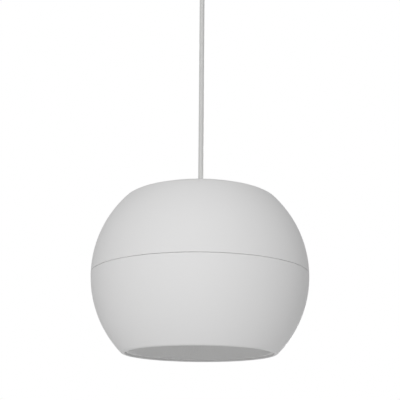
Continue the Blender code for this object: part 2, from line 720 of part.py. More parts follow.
def make_lower_shell():
    edge = FIT / 2
    inner_radius = BODY_RADIUS - WALL
    lip, lip_angle = lip_points()
    seat = -MOUTH_DROP + GRILLE_RECESS + GRILLE_HEIGHT + FIT
    seam_angle = math.asin((SEAM_EDGE + edge) / BODY_RADIUS)
    ball = arc((0, 0), BODY_RADIUS, -seam_angle, lip_angle, 5)[:-1]
    pocket = math.acos(COLLAR_RADIUS / inner_radius)
    socket = math.asin((SPIGOT_DEPTH + FIT) / inner_radius)
    inside = arc((0, 0), inner_radius, -pocket, -socket, 3)
    points = [(BODY_RADIUS - SEAM_EDGE, -edge), *ball, *lip]
    points += [
        (MOUTH_RADIUS + LIP_BEVEL, -MOUTH_DROP),
        (MOUTH_RADIUS, -MOUTH_DROP + LIP_BEVEL),
        (MOUTH_RADIUS, seat),
        (MOUTH_RADIUS - GRILLE_SEAT, seat),
        (MOUTH_RADIUS - GRILLE_SEAT, FLANGE_FRONT),
        (FLANGE_RADIUS, FLANGE_FRONT),
        (FLANGE_RADIUS, FLANGE_BACK),
        (COLLAR_RADIUS, FLANGE_BACK)]
    points += [*inside, (socket_radius(), -edge)]
    shell = turned("lower_shell", points, WHITE_PLASTIC, HOUSING, sides=SHELL_SIDES)
    reach = DRIVER_BOSS_HEIGHT + FLANGE_THICKNESS / 2
    middle = FLANGE_BACK + DRIVER_BOSS_HEIGHT - reach / 2
    bosses = [polar(SCREW_CIRCLE, angle, middle) for angle in spoke_angles()]
    boss_mesh = rod_mesh("bosses", DRIVER_BOSS_RADIUS, reach, bosses)
    combine(shell, add_cutter("bosses", boss_mesh, HOUSING), "UNION")
    depth = FLANGE_THICKNESS + DRIVER_BOSS_HEIGHT - DRIVER_BOSS_FLOOR
    pilots = [polar(SCREW_CIRCLE, angle, FLANGE_FRONT) for angle in spoke_angles()]
    pilot_mesh = rod_mesh("pilots", DRIVER_SCREW[2] + THREAD_FIT, 2 * depth, pilots)
    combine(shell, add_cutter("pilots", pilot_mesh, HOUSING), "DIFFERENCE")


def grille_holes():
    """A staggered pattern of holes, as many as fit inside the pan's flat face."""
    limit = MOUTH_RADIUS - FIT - GRILLE_THICKNESS - GRILLE_MARGIN - GRILLE_HOLE_RADIUS
    rise = GRILLE_PITCH * math.sqrt(3) / 2
    rows = int(limit / rise)
    places = []
    for row in range(-rows, rows + 1):
        for column in range(-rows - 1, rows + 2):
            x = (column + (row % 2) / 2) * GRILLE_PITCH
            if math.hypot(x, row * rise) <= limit:
                places.append((x, row * rise))
    return places


def make_grille():
    outer = MOUTH_RADIUS - FIT
    inner = outer - GRILLE_THICKNESS
    face = -MOUTH_DROP + GRILLE_RECESS
    back = face + GRILLE_THICKNESS
    rim = face + GRILLE_HEIGHT
    points = [
        (0, back),
        (inner, back),
        (inner, rim),
        (outer, rim),
        (outer, face + GRILLE_EDGE),
        (outer - GRILLE_EDGE, face),
        (0, face)]
    grille = turned("grille", points, GRILLE_PAINT, HOUSING, sides=SHELL_SIDES)
    places = [(x, y, face) for x, y in grille_holes()]
    punches = rod_mesh("punches", GRILLE_HOLE_RADIUS, 4 * GRILLE_THICKNESS, places, PUNCH_SIDES)
    combine(grille, add_cutter("punches", punches, HOUSING), "DIFFERENCE")


def make_basket():
    half = SHEET / 2
    points = [
        (RIM_RADIUS, -half),
        (RIM_INNER_RADIUS, -half),
        (RIM_INNER_RADIUS - RIM_TURN[0], RIM_TURN[1]),
        (BASKET_NECK_RADIUS, BASKET_HEIGHT),
        (SHELF_INNER_RADIUS, BASKET_HEIGHT),
        (BACK_OUTER_RADIUS, BACK_HEIGHT),
        (BACK_INNER_RADIUS, BACK_HEIGHT)]
    basket = turned_sheet("basket", points, SHEET, STEEL, DRIVER)
    inner = BASKET_NECK_RADIUS + WINDOW_INSET[0]
    outer = RIM_INNER_RADIUS - RIM_TURN[0] - WINDOW_INSET[1]
    half_window = (2 * math.pi / SPOKES - SPOKE_ANGLE) / 2
    window = (arc((0, 0), outer, -half_window, half_window, 4)
              + arc((0, 0), inner, half_window, -half_window, 4))
    mesh = outline_mesh("window", [window], BASKET_HEIGHT)
    for angle in spoke_angles():
        cutter = add_cutter("window", mesh, DRIVER, (0, 0, BASKET_HEIGHT / 2))
        cutter.rotation_euler.z = angle + math.pi / SPOKES
        combine(basket, cutter, "DIFFERENCE")
    drill_rim(basket)


def drill_rim(piece):
    places = [polar(SCREW_CIRCLE, angle, 0) for angle in spoke_angles()]
    holes = rod_mesh("rim_holes", DRIVER_SCREW[2] + FIT, 4 * (SHEET + GASKET_THICKNESS), places)
    combine(piece, add_cutter("rim_holes", holes, DRIVER), "DIFFERENCE")


def make_driver_fixings():
    gasket = washer(FLANGE_RADIUS, RIM_RADIUS, FIT, FIT + GASKET_THICKNESS)
    drill_rim(turned("driver_gasket", gasket, FOAM, DRIVER, sides=ROUND_SIDES))
    for index, angle in enumerate(spoke_angles()):
        screw(f"driver_screw_{index + 1}", DRIVER_SCREW, STEEL, DRIVER,
              polar(SCREW_CIRCLE, angle, -SHEET - FIT), (math.pi, 0, 0))


def make_magnet():
    bottom = BACK_HEIGHT + SHEET / 2 + FIT
    top = bottom + PLATE_THICKNESS
    bore = COIL_INNER_RADIUS + FORMER_WALL + WINDING_WALL + COIL_GAP
    turned("top_plate", washer(bore, PLATE_RADIUS, bottom, top), PLATED_STEEL, DRIVER, sides=ROUND_SIDES)
    base = top + FIT
    turned("magnet", washer(MAGNET_BORE, MAGNET_RADIUS, base, base + MAGNET_THICKNESS), FERRITE, DRIVER,
           sides=ROUND_SIDES)
    plate = base + MAGNET_THICKNESS + FIT
    pole = COIL_INNER_RADIUS - COIL_GAP
    yoke = [
        (0, plate + YOKE_THICKNESS),
        (YOKE_RADIUS, plate + YOKE_THICKNESS),
        (YOKE_RADIUS, plate),
        (pole, plate),
        (pole, bottom),
        (0, bottom)]
    turned("yoke", yoke, PLATED_STEEL, DRIVER, sides=ROUND_SIDES)


def cone_height(radius):
    """The cone's sweep between its flat edge and its neck."""
    edge = CONE_RADIUS - CONE_FLANGE
    neck = neck_radius()
    share = (edge - radius) / (edge - neck)
    return CONE_EDGE_HEIGHT + (CONE_NECK_HEIGHT - CONE_EDGE_HEIGHT) * share ** CONE_SWEEP


def neck_radius():
    return COIL_INNER_RADIUS + FORMER_WALL + FIT + PAPER / 2


def make_cone():
    edge = CONE_RADIUS - CONE_FLANGE
    radii = [edge + (neck_radius() - edge) * step / CONE_STEPS for step in range(CONE_STEPS + 1)]
    points = [(CONE_RADIUS, CONE_EDGE_HEIGHT)] + [(radius, cone_height(radius)) for radius in radii]
    turned_sheet("cone", points, PAPER, CONE_PAPER, MOVING)


def make_dust_cap():
    rim = cone_height(CAP_RADIUS) - PAPER - 2 * FIT
    radius = (CAP_RADIUS ** 2 + CAP_RISE ** 2) / (2 * CAP_RISE)
    half_angle = math.asin(CAP_RADIUS / radius)
    center = (0, rim - CAP_RISE + radius)
    dome = arc(center, radius, -math.pi / 2, -math.pi / 2 + half_angle, 4)
    dome[0] = (0, rim - CAP_RISE)
    turned_sheet("dust_cap", dome[::-1], PAPER, CONE_PAPER, MOVING, SMALL_SIDES)


def make_voice_coil():
    former = COIL_INNER_RADIUS + FORMER_WALL
    winding = former + WINDING_WALL
    middle = BACK_HEIGHT + SHEET / 2 + FIT + PLATE_THICKNESS / 2
    reach = PLATE_THICKNESS / 2 + CONE_TRAVEL
    top, bottom = middle + reach, middle - reach
    back = top + FORMER_SPARE
    points = [
        (former, back),
        (former, top),
        (winding, top),
        (winding, bottom),
        (former, bottom),
        (former, FORMER_FRONT),
        (COIL_INNER_RADIUS, FORMER_FRONT),
        (COIL_INNER_RADIUS, back)]
    turned("voice_coil", points, COPPER, MOVING, sides=ROUND_SIDES)


def make_surround():
    """The half roll between the rim's front face and the cone's edge."""
    half = SURROUND_WALL / 2
    outer = -SHEET - FIT - half
    inner = CONE_EDGE_HEIGHT - PAPER / 2 - FIT - half
    start, end = CONE_RADIUS + SURROUND_STEP, RIM_INNER_RADIUS + FIT
    radius = (end - start) / 2
    roll = arc(((start + end) / 2, outer), radius, 0, -math.pi, 4)
    ring = RIM_INNER_RADIUS + RIM_RING_STEP
    points = [(ring + RIM_RING_WIDTH - SURROUND_STEP, outer), *roll,
              (start - SURROUND_STEP / 5, inner), (CONE_RADIUS - CONE_FLANGE, inner)]
    turned_sheet("surround", points, SURROUND_WALL, RUBBER, DRIVER)
    top = outer - half - FIT
    turned("rim_ring", washer(ring, ring + RIM_RING_WIDTH, top - RIM_RING_THICKNESS, top), CARD, DRIVER,
           sides=ROUND_SIDES)


def make_spider():
    """The waved cloth disc that centres the coil, glued under the basket's shelf."""
    outer = BASKET_HEIGHT - SHEET / 2 - FIT - SPIDER_WALL / 2
    shelf = SHELF_INNER_RADIUS
    start, end = shelf + SPIDER_SHELF, COIL_INNER_RADIUS + FORMER_WALL + FIT + SPIDER_WALL / 2
    collar, fold = SPIDER_COLLAR
    steps = 2 * SPIDER_WAVES
    points = [(start, outer), (shelf, outer)]
    for step in range(1, steps):
        share = step / steps
        wave = -SPIDER_WAVE_HEIGHT if step % 2 else SPIDER_WAVE_HEIGHT * 0.4
        fall = (outer - SPIDER_NECK_HEIGHT) * share ** 2
        points.append((shelf + (end + 1.5 * collar - shelf) * share, outer - fall + wave))
    points += [(end + collar, SPIDER_NECK_HEIGHT), (end, SPIDER_NECK_HEIGHT - fold)]
    turned_sheet("spider", points, SPIDER_WALL, CLOTH, DRIVER)


def tag_seat():
    """Middle of the back of a spoke, and the direction that faces out of it, in that spoke's frame."""
    run = RIM_INNER_RADIUS - RIM_TURN[0] - BASKET_NECK_RADIUS
    rise = BASKET_HEIGHT - RIM_TURN[1]
    middle = Vector((BASKET_NECK_RADIUS + run / 2, 0, RIM_TURN[1] + rise / 2))
    return middle, Vector((rise, 0, run)).normalized()


def make_tags():
    """A tag board on the back of one spoke, two tags on it, and the tinsel leads to the cone."""
    middle, normal = tag_seat()
    tilt = -math.atan2(normal.z, normal.x)
    board_place = middle + normal * (SHEET / 2 + FIT + TAG_BOARD[0] / 2)
    board = add_piece("tag_board", box_mesh("tag_board", TAG_BOARD), PHENOLIC, SPOKE, board_place)
    board.rotation_euler.y = tilt
    place = board_place + normal * (TAG_BOARD[0] / 2 + FIT + TAG[0] / 2)
    for name, side in (("tag_a", -1), ("tag_b", 1)):
        tag = add_piece(name, box_mesh(name, TAG), PLATED_STEEL, SPOKE, (place.x, side * TAG_OFFSET, place.z))
        tag.rotation_euler.y = tilt
    end = place - normal * (TAG[0] / 2 + TINSEL_RADIUS + FIT)
    start = cone_height(TINSEL_REACH) + PAPER + TINSEL_RADIUS + FIT
    width = TAG_OFFSET + TAG[1] / 2 - TINSEL_RADIUS - 2 * FIT
    for name, side in (("tinsel_lead_a", -1), ("tinsel_lead_b", 1)):
        route = [(TINSEL_REACH, side * TINSEL_SPREAD, start)]
        for share, rise, spread in ((0.2, 0.7, 0.4), (0.48, 1.0, 0.75), (0.74, 0.8, 0.95)):
            across = side * (TINSEL_SPREAD + (width - TINSEL_SPREAD) * spread)
            route.append((TINSEL_REACH + (end.x - TINSEL_REACH) * share, across, start + TINSEL_RISE * rise))
        route.append((end.x, side * width, end.z))
        tube(name, smooth_route(route), TINSEL_RADIUS, COPPER, SPOKE)


def make_transformer():
    top = MOUNT_HEIGHT - 2 * FIT
    middle = top - CORE_HEIGHT / 2
    window_height = CORE_HEIGHT - 2 * CORE_LEG
    windows = [rectangle(CORE_LEG, window_height, (side * 1.5 * CORE_LEG, 0)) for side in (-1, 1)]
    sheet = outline_mesh("transformer_core", [rectangle(CORE_WIDTH, CORE_HEIGHT), *windows], CORE_STACK)
    core = add_piece("transformer_core", sheet, LAMINATION, HOUSING, (TRANSFORMER_X, 0, middle))
    core.rotation_euler = (math.pi / 2, 0, math.pi / 2)
    around = rectangle(2 * WINDING_REACH, 4 * CORE_LEG - 2 * FIT)
    leg = rectangle(CORE_STACK + 2 * FIT, 2 * CORE_LEG + 2 * FIT)
    add_piece("transformer_winding",
              outline_mesh("transformer_winding", [around, leg], window_height - 2 * FIT),
              TAPE, HOUSING, (TRANSFORMER_X, 0, middle))
    half = SHEET / 2
    side = CORE_WIDTH / 2 + FIT + half
    foot = MOUNT_HEIGHT - FIT - half
    under = top - CORE_HEIGHT - FIT - half
    right = [(side, under), (side, foot), (STRAP_HOLE_OFFSET + BAND_FOOT, foot)]
    path = [(-y, z) for y, z in reversed(right)] + right
    band = ribbon("transformer_strap", path, BAND_WIDTH, SHEET, PLATED_STEEL, HOUSING, (TRANSFORMER_X, 0, 0))
    band.rotation_euler.z = math.pi / 2
    holes = [(side * STRAP_HOLE_OFFSET, 0, foot) for side in (-1, 1)]
    hole_mesh = rod_mesh("band_holes", SMALL_SCREW[2] + FIT, 4 * SHEET, holes)
    combine(band, add_cutter("band_holes", hole_mesh, band), "DIFFERENCE")
    for name, sign in (("transformer_screw_a", -1), ("transformer_screw_b", 1)):
        screw(name, SMALL_SCREW, STEEL, HOUSING,
              (TRANSFORMER_X, sign * STRAP_HOLE_OFFSET, foot - half - FIT), (math.pi, 0, 0))


def make_terminal_block():
    width, _, height = BLOCK
    top = BLOCK_MOUNT_HEIGHT - FIT
    block = add_piece("terminal_block", box_mesh("terminal_block", BLOCK), NYLON, HOUSING,
                      (BLOCK_X, 0, top - height / 2))
    edges = block.modifiers.new("Edges", "BEVEL")
    edges.width = BLOCK_EDGE
    holes = [(0, side * BLOCK_HOLE_OFFSET, 0) for side in (-1, 1)]
    hole_mesh = rod_mesh("block_holes", BLOCK_SCREW[2] + FIT, 2 * height, holes)
    combine(block, add_cutter("block_holes", hole_mesh, block), "DIFFERENCE")
    entries = [(sign * width / 2, side * BLOCK_ENTRY_OFFSET, 0) for sign in (-1, 1) for side in (-1, 1)]
    entry_mesh = rod_mesh("entry_holes", BLOCK_ENTRY_RADIUS, 2 * BLOCK_ENTRY_DEPTH, entries,
                          SCREW_SIDES, "X")
    combine(block, add_cutter("entries", entry_mesh, block), "DIFFERENCE")
    for name, sign in (("terminal_screw_a", -1), ("terminal_screw_b", 1)):
        screw(name, BLOCK_SCREW, STEEL, HOUSING,
              (BLOCK_X, sign * BLOCK_HOLE_OFFSET, top - height - FIT), (math.pi, 0, 0))


def make_wiring():
    """Leads from the cord to the block, on to the transformer, and down to the driver's tags."""
    height = BLOCK_MOUNT_HEIGHT - FIT - BLOCK[2] / 2
    near = BLOCK_X + BLOCK[0] / 2 - BLOCK_ENTRY_DEPTH / 2
    far = BLOCK_X - BLOCK[0] / 2 + BLOCK_ENTRY_DEPTH / 2
    entry = BLOCK_ENTRY_OFFSET
    for letter, side in (("a", -1), ("b", 1)):
        look = CORE_LOOKS[letter]
        start = side * CORE_SPACING / 2
        tube(f"core_{letter}", smooth_route([
            (0, start, CORD_BOTTOM - FIT),
            (0, start, CORD_BOTTOM - CORD_RADIUS),
            (near / 10, start, CORD_BOTTOM - 0.7 * LEAD_DROP),
            (near / 3, side * entry * 0.6, CORD_BOTTOM - 1.2 * LEAD_DROP),
            (near * 0.7, side * entry, height - CORE_RADIUS),
            (near, side * entry, height)]), CORE_RADIUS, look, HOUSING)
        make_primary_lead(f"primary_lead_{letter}", side, far, height, look)
        make_driver_lead(f"driver_lead_{letter}", side, look)


def make_primary_lead(name, side, start, height, look):
    """It leaves the block, loops under it and hangs across to the transformer's near face."""
    end = TRANSFORMER_X - WINDING_REACH - FIT - CORE_RADIUS
    span = end - LEAD_STAND - BLOCK_X
    spread = side * LEAD_SPREAD
    tube(name, smooth_route([
        (start, side * BLOCK_ENTRY_OFFSET, height),
        (start - LEAD_STAND, side * BLOCK_ENTRY_OFFSET, height - CORE_RADIUS),
        (start - 1.4 * LEAD_STAND, spread * 0.6, height - LEAD_DIP * 0.45),
        (BLOCK_X, spread * 0.8, height - LEAD_DIP * 0.87),
        (BLOCK_X + span * 0.38, spread * 0.9, height - LEAD_DIP),
        (BLOCK_X + span * 0.78, spread, height - LEAD_DIP * 0.83),
        (end - 0.8 * LEAD_STAND, spread, height - LEAD_DIP * 0.42),
        (end, spread, height - LEAD_DIP * 0.17)]), CORE_RADIUS, look, HOUSING)


def make_driver_lead(name, side, look):
    """It leaves the transformer's far face and sweeps round and down to a tag on the driver."""
    start = TRANSFORMER_X + WINDING_REACH + FIT + CORE_RADIUS
    width = side * LEAD_SPREAD * 0.6
    top = MOUNT_HEIGHT - CORE_HEIGHT
    turn = spoke_angles()[0]
    middle, normal = tag_seat()
    away = SHEET / 2 + TAG_BOARD[0] + TAG[0] + 3 * FIT + CORE_RADIUS
    seat = middle + normal * away
    spoke = Matrix.Rotation(turn, 4, "Z")
    tag = spoke @ Vector((seat.x, side * TAG_OFFSET, RIM_BACK + seat.z))
    above = spoke @ Vector((seat.x + away, side * TAG_OFFSET, RIM_BACK + seat.z + LEAD_DROP))
    route = [
        (start, width, top + CORE_LEG + 3 * CORE_RADIUS),
        (start + 0.4 * LEAD_STAND, width, top - 3 * CORE_RADIUS)]
    for share, reach, fall in ((0.3, 0.91, 0.23), (0.55, 1.0, 0.62), (0.8, 1.0, 0.84)):
        angle = turn * share + 1.2 * width / LEAD_SWEEP
        route.append(polar(LEAD_SWEEP * reach, angle, top + (above.z - top) * fall))
    tube(name, smooth_route([*route, above, tag]), CORE_RADIUS, look, HOUSING)


clear_scene()
PIECES = new_collection("pendant_speaker")
CUTTERS = new_collection("cutters")

WHITE_PLASTIC = new_look("white_plastic", (0.80, 0.79, 0.78), 0.45)
WHITE_NYLON = new_look("white_nylon", (0.78, 0.78, 0.76), 0.50)
GRILLE_PAINT = new_look("grille_paint", (0.74, 0.74, 0.73), 0.50)
CORD_LOOK = new_look("cord_sheath", (0.62, 0.62, 0.62), 0.45)
NYLON = new_look("natural_nylon", (0.72, 0.72, 0.68), 0.55)
STEEL = new_look("zinc_steel", (0.62, 0.62, 0.62), 0.35, 1.0)
PLATED_STEEL = new_look("plated_steel", (0.66, 0.64, 0.58), 0.30, 1.0)
COPPER = new_look("copper", (0.72, 0.42, 0.28), 0.35, 1.0)
FERRITE = new_look("ferrite", (0.05, 0.05, 0.055), 0.70)
CONE_PAPER = new_look("cone_paper", (0.05, 0.05, 0.05), 0.85)
RUBBER = new_look("surround_rubber", (0.03, 0.03, 0.03), 0.60)
CLOTH = new_look("spider_cloth", (0.55, 0.40, 0.14), 0.85)
CARD = new_look("ring_card", (0.30, 0.22, 0.14), 0.90)
FOAM = new_look("gasket_foam", (0.06, 0.06, 0.06), 0.95)
PHENOLIC = new_look("phenolic_board", (0.20, 0.09, 0.03), 0.60)
LAMINATION = new_look("lamination", (0.22, 0.22, 0.23), 0.50, 0.8)
TAPE = new_look("winding_tape", (0.70, 0.58, 0.18), 0.50)
CORE_LOOKS = {
    "a": new_look("brown_core", (0.16, 0.07, 0.03), 0.45),
    "b": new_look("blue_core", (0.03, 0.10, 0.35), 0.45)}

CEILING = new_empty("ceiling")
HOUSING = new_empty("housing", (0, 0, SEAM_HEIGHT))
DRIVER = new_empty("driver", (0, 0, RIM_BACK), HOUSING)
MOVING = new_empty("moving", (0, 0, 0), DRIVER)
SPOKE = new_empty("spoke", (0, 0, 0), DRIVER, spoke_angles()[0])

make_ceiling_bracket()
make_ceiling_cup()
make_ceiling_terminal()
make_strand()
make_cord_grip()
make_ceiling_cores()
make_cord()
make_gland()
make_upper_shell()
make_lower_shell()
make_grille()
make_basket()
make_driver_fixings()
make_magnet()
make_cone()
make_dust_cap()
make_voice_coil()
make_surround()
make_spider()
make_tags()
make_transformer()
make_terminal_block()
make_wiring()
bpy.context.view_layer.update()
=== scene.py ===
"""The finished pendant loudspeaker: its fine mouldings, grille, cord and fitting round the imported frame."""

import math

import bmesh
import bpy
from mathutils import Matrix, Vector


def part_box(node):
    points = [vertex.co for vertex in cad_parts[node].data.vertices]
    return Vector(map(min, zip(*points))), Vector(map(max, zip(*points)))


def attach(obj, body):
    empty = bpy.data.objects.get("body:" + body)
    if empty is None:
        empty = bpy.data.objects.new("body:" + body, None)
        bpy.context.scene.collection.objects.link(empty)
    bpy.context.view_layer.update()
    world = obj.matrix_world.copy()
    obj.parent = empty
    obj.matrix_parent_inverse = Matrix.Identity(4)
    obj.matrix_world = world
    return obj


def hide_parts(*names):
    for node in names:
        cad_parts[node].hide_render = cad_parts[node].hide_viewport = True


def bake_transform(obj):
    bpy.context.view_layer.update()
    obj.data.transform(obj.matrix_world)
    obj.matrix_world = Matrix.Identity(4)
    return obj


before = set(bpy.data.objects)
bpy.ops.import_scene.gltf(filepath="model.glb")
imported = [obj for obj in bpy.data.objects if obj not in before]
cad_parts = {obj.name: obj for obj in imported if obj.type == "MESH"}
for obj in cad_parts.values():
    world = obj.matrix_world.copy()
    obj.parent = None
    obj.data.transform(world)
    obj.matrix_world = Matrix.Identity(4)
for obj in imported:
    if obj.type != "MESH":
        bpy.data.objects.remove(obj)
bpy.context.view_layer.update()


# Camera: it stands under the speaker and looks up at it by sixteen degrees, as the photograph does.
# Its place, tilt and lens come from fitting the ball's outline, and are measured from the seam,
# where the two halves of the housing meet with a hair's gap.
def put(name, data):
    """A new object in the scene."""
    thing = bpy.data.objects.new(name, data)
    scene.collection.objects.link(thing)
    return thing


SEAM_GAP = 0.0003
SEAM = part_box("lower_shell")[1].z + SEAM_GAP / 2
CAMERA_DISTANCE = 1.0406
CAMERA_DROP = 0.2053
CAMERA_SIDE = -0.0007
CAMERA_TILT = math.radians(16.07)
CAMERA_ROLL = math.radians(0.46)
LENS = 79.41

scene = bpy.context.scene
scene.view_settings.view_transform = "Standard"
camera_data = bpy.data.cameras.new("camera")
camera_data.lens = LENS
camera = put("camera", camera_data)
place = Matrix.Translation((CAMERA_SIDE, -CAMERA_DISTANCE, SEAM - CAMERA_DROP))
tilt = Matrix.Rotation(math.pi / 2 + CAMERA_TILT, 4, "X")
camera.matrix_world = place @ tilt @ Matrix.Rotation(CAMERA_ROLL, 4, "Z")
scene.camera = camera


# Room: a white studio with a pale floor, three metres under the ceiling that the speaker hangs from.
# The world is plain white where it is seen, straight, mirrored or through glass, and lights more softly.
class Signal:
    """A value in a node tree. Arithmetic on it adds Math nodes, and add() makes any other node."""

    def __init__(self, tree, socket=None):
        self.tree = tree
        self.socket = socket

    def add(self, kind, settings=None, inputs=None, output=0):
        """A new node: its settings are made first, then its inputs are set or linked."""
        made = self.tree.nodes.new(kind)
        for name, value in (settings or {}).items():
            setattr(made, name, value)
        for name, value in (inputs or {}).items():
            self.feed(made.inputs[name], value)
        return Signal(self.tree, made.outputs[output])

    def feed(self, socket, value):
        """Links a signal to a socket, or sets a plain value on it."""
        if isinstance(value, Signal):
            self.tree.links.new(value.socket, socket)
        else:
            socket.default_value = value

    def math(self, operation, other):
        return self.add("ShaderNodeMath", {"operation": operation}, {0: self, 1: other})

    def __add__(self, other):
        return self.math("ADD", other)

    def __mul__(self, other):
        return self.math("MULTIPLY", other)

    __radd__ = __add__
    __rmul__ = __mul__

    def between(self, first, second):
        """A colour that goes from the first to the second as this value goes from 0 to 1."""
        return self.add("ShaderNodeMix", {"data_type": "RGBA"}, {0: self, 6: first, 7: second}, 2)

    def noise(self, scale, detail):
        """Cloudy noise from 0 to 1 at this place, with its scale in features to the metre."""
        return self.add("ShaderNodeTexNoise", None, {"Vector": self, "Scale": scale, "Detail": detail})

    def shown_rays(self):
        """1 for the rays that show a background as it looks: straight, mirrored or through glass."""
        seen, mirrored, passed = [self.add("ShaderNodeLightPath", output=f"Is {kind} Ray")
                                  for kind in ("Camera", "Glossy", "Transmission")]
        return seen.math("MAXIMUM", mirrored).math("MAXIMUM", passed)


def as_mesh(name, form):
    """A mesh with the shape of a bmesh, which is freed."""
    mesh = bpy.data.meshes.new(name)
    form.to_mesh(mesh)
    form.free()
    return mesh


CEILING_TO_FLOOR = 3.0
FLOOR_RADIUS = 9.0
FLOOR_COLOR = (0.86, 0.86, 0.86, 1)
FLOOR_ROUGHNESS = 0.9
FLOOR_GLOW = 0.55
AMBIENT = 0.31
WHITE = 1.0
LAMPS = {
    "front_lamp": ((-0.55, -2.3, -0.05), 1.2, 29.2),
    "left_lamp": ((-2.2, -1.2, 0.1), 1.1, 3.4),
    "right_lamp": ((2.2, -1.2, 0.1), 1.1, 7.2),
    "back_lamp": ((0.3, 2.4, 0.1), 1.1, 24.0),
    "low_lamp": ((0.0, 0.2, -2.2), 1.6, 7.8),
}

world = bpy.data.worlds.new("studio")
scene.world = world
world.use_nodes = True
sky = Signal(world.node_tree)
background = world.node_tree.nodes["Background"]
background.inputs["Color"].default_value = (1, 1, 1, 1)
sky.feed(background.inputs["Strength"], sky.shown_rays() * (WHITE - AMBIENT) + AMBIENT)

disc = bmesh.new()
bmesh.ops.create_circle(disc, cap_ends=True, segments=96, radius=FLOOR_RADIUS,
                        matrix=Matrix.Translation((0, 0, -CEILING_TO_FLOOR)))
floor = put("floor", as_mesh("floor", disc))
paint = bpy.data.materials.new("floor_paint")
paint.use_nodes = True
ground = Signal(paint.node_tree)
floor_shader = paint.node_tree.nodes["Principled BSDF"]
floor_shader.inputs["Base Color"].default_value = FLOOR_COLOR
floor_shader.inputs["Roughness"].default_value = FLOOR_ROUGHNESS
lit = Signal(paint.node_tree, floor_shader.outputs[0])
glow = ground.add("ShaderNodeEmission", None, {"Strength": WHITE})
shown = ground.add("ShaderNodeMixShader", None, {0: ground.shown_rays() * FLOOR_GLOW, 1: lit, 2: glow})
ground.feed(paint.node_tree.nodes["Material Output"].inputs["Surface"], shown)
floor.data.materials.append(paint)

for name, (spot, size, watts) in LAMPS.items():
    lamp_data = bpy.data.lights.new(name, "AREA")
    lamp_data.size = size
    lamp_data.energy = watts
    lamp = put(name, lamp_data)
    lamp.visible_camera = False
    aim = Vector((0, 0, SEAM)) - Vector(spot)
    lamp.matrix_world = Matrix.Translation(spot) @ aim.to_track_quat("-Z", "Y").to_matrix().to_4x4()


# Cord: two cores and a steel strand in one round sheath of soft PVC, drawn straight by the weight.
# It runs from its crimped stop inside the crown up through the grip into the ceiling cup.
def finish(name, color, roughness, clouds, grain=(2500, 0.02), sheen=0.5, metallic=0.0):
    """A material with faint clouds of tone and gloss, and a fine raised grain that catches the light.

    Clouds are given by their features to the metre and their share of the tone, and grain by its
    features to the metre and its height in millimetres.
    """
    material = bpy.data.materials.new(name)
    material["slot"] = name
    material.use_nodes = True
    tree = material.node_tree
    shader = tree.nodes["Principled BSDF"]
    shader.inputs["Metallic"].default_value = metallic
    shader.inputs["Specular IOR Level"].default_value = sheen
    where = Signal(tree).add("ShaderNodeTexCoord", output="Object")
    spacing, depth = clouds
    cloud = where.noise(spacing, 3.0)
    pale = tuple(min(1.0, part * (1 + depth)) for part in color)
    deep = tuple(part * (1 - depth) for part in color)
    where.feed(shader.inputs["Base Color"], cloud.between((*deep, 1), (*pale, 1)))
    where.feed(shader.inputs["Roughness"], cloud * GLOSS_SPREAD + (roughness - GLOSS_SPREAD / 2))
    fineness, height = grain
    bump = where.add("ShaderNodeBump", None, {
        "Height": where.noise(fineness, 2.0), "Strength": 1.0, "Distance": height / 1000})
    where.feed(shader.inputs["Normal"], bump)
    return material


def drawn(name, points, radius, smoothness):
    """A round line through a row of points, with closed ends."""
    line = bpy.data.curves.new(name, "CURVE")
    line.dimensions = "3D"
    line.bevel_depth = radius
    line.bevel_resolution = smoothness
    line.use_fill_caps = True
    run = line.splines.new("POLY")
    run.points.add(len(points) - 1)
    for knot, place in zip(run.points, points):
        knot.co = (*place, 1)
    return line


GLOSS_SPREAD = 0.10
CORD_RADIUS = 0.0031
CORD_STEPS = 20

sheath = finish("cord_sheath", (0.62, 0.62, 0.61), 0.42, (60, 0.02))
cord_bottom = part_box("cord")[0].z
cord_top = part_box("cord")[1].z
cord_step = (cord_top - cord_bottom) / CORD_STEPS
cord_line = [(0, 0, cord_bottom + cord_step * index) for index in range(CORD_STEPS + 1)]
cord = put("hanging_cord", drawn("hanging_cord", cord_line, CORD_RADIUS, 6))
cord.data.materials.append(sheath)
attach(cord, "housing")
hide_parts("cord")


# Housing: two halves moulded in white plastic with a spark-eroded satin skin.
# The upper one enters the lower with a spigot, and their edges leave one fine line round the ball.
def arc(center, radius, start, end, steps):
    """Points on an arc of a turned outline, with its angles from the outward direction."""
    turns = [start + (end - start) * step / steps for step in range(steps + 1)]
    return [(center[0] + radius * math.cos(turn), center[1] + radius * math.sin(turn)) for turn in turns]


def polar(radius, turn, *height):
    """A place at a distance and a turn from the cord's line."""
    return (radius * math.cos(turn), radius * math.sin(turn), *height)


def around(radius, height, count, start=0.0):
    """Places spread evenly on a circle about the cord's line."""
    return [polar(radius, start + 2 * math.pi * index / count, height) for index in range(count)]


def neighbours(row):
    """Each item with the next one, round a closed row."""
    return list(zip(row, row[1:] + row[:1]))


def softened(outline, steps):
    """The outline with each corner that names a third value rounded to that radius."""
    result = []
    for index, (radius, height, *rounding) in enumerate(outline):
        if not rounding:
            result.append((radius, height))
            continue
        corner = Vector((radius, height))
        before = (Vector(outline[index - 1][:2]) - corner).normalized()
        after = (Vector(outline[(index + 1) % len(outline)][:2]) - corner).normalized()
        half = before.angle(after) / 2
        middle = corner + (before + after).normalized() * rounding[0] / math.sin(half)
        first = corner + before * rounding[0] / math.tan(half) - middle
        last = corner + after * rounding[0] / math.tan(half) - middle
        for step in range(steps + 1):
            result.append(tuple(middle + first.slerp(last, step / steps).normalized() * rounding[0]))
    return result


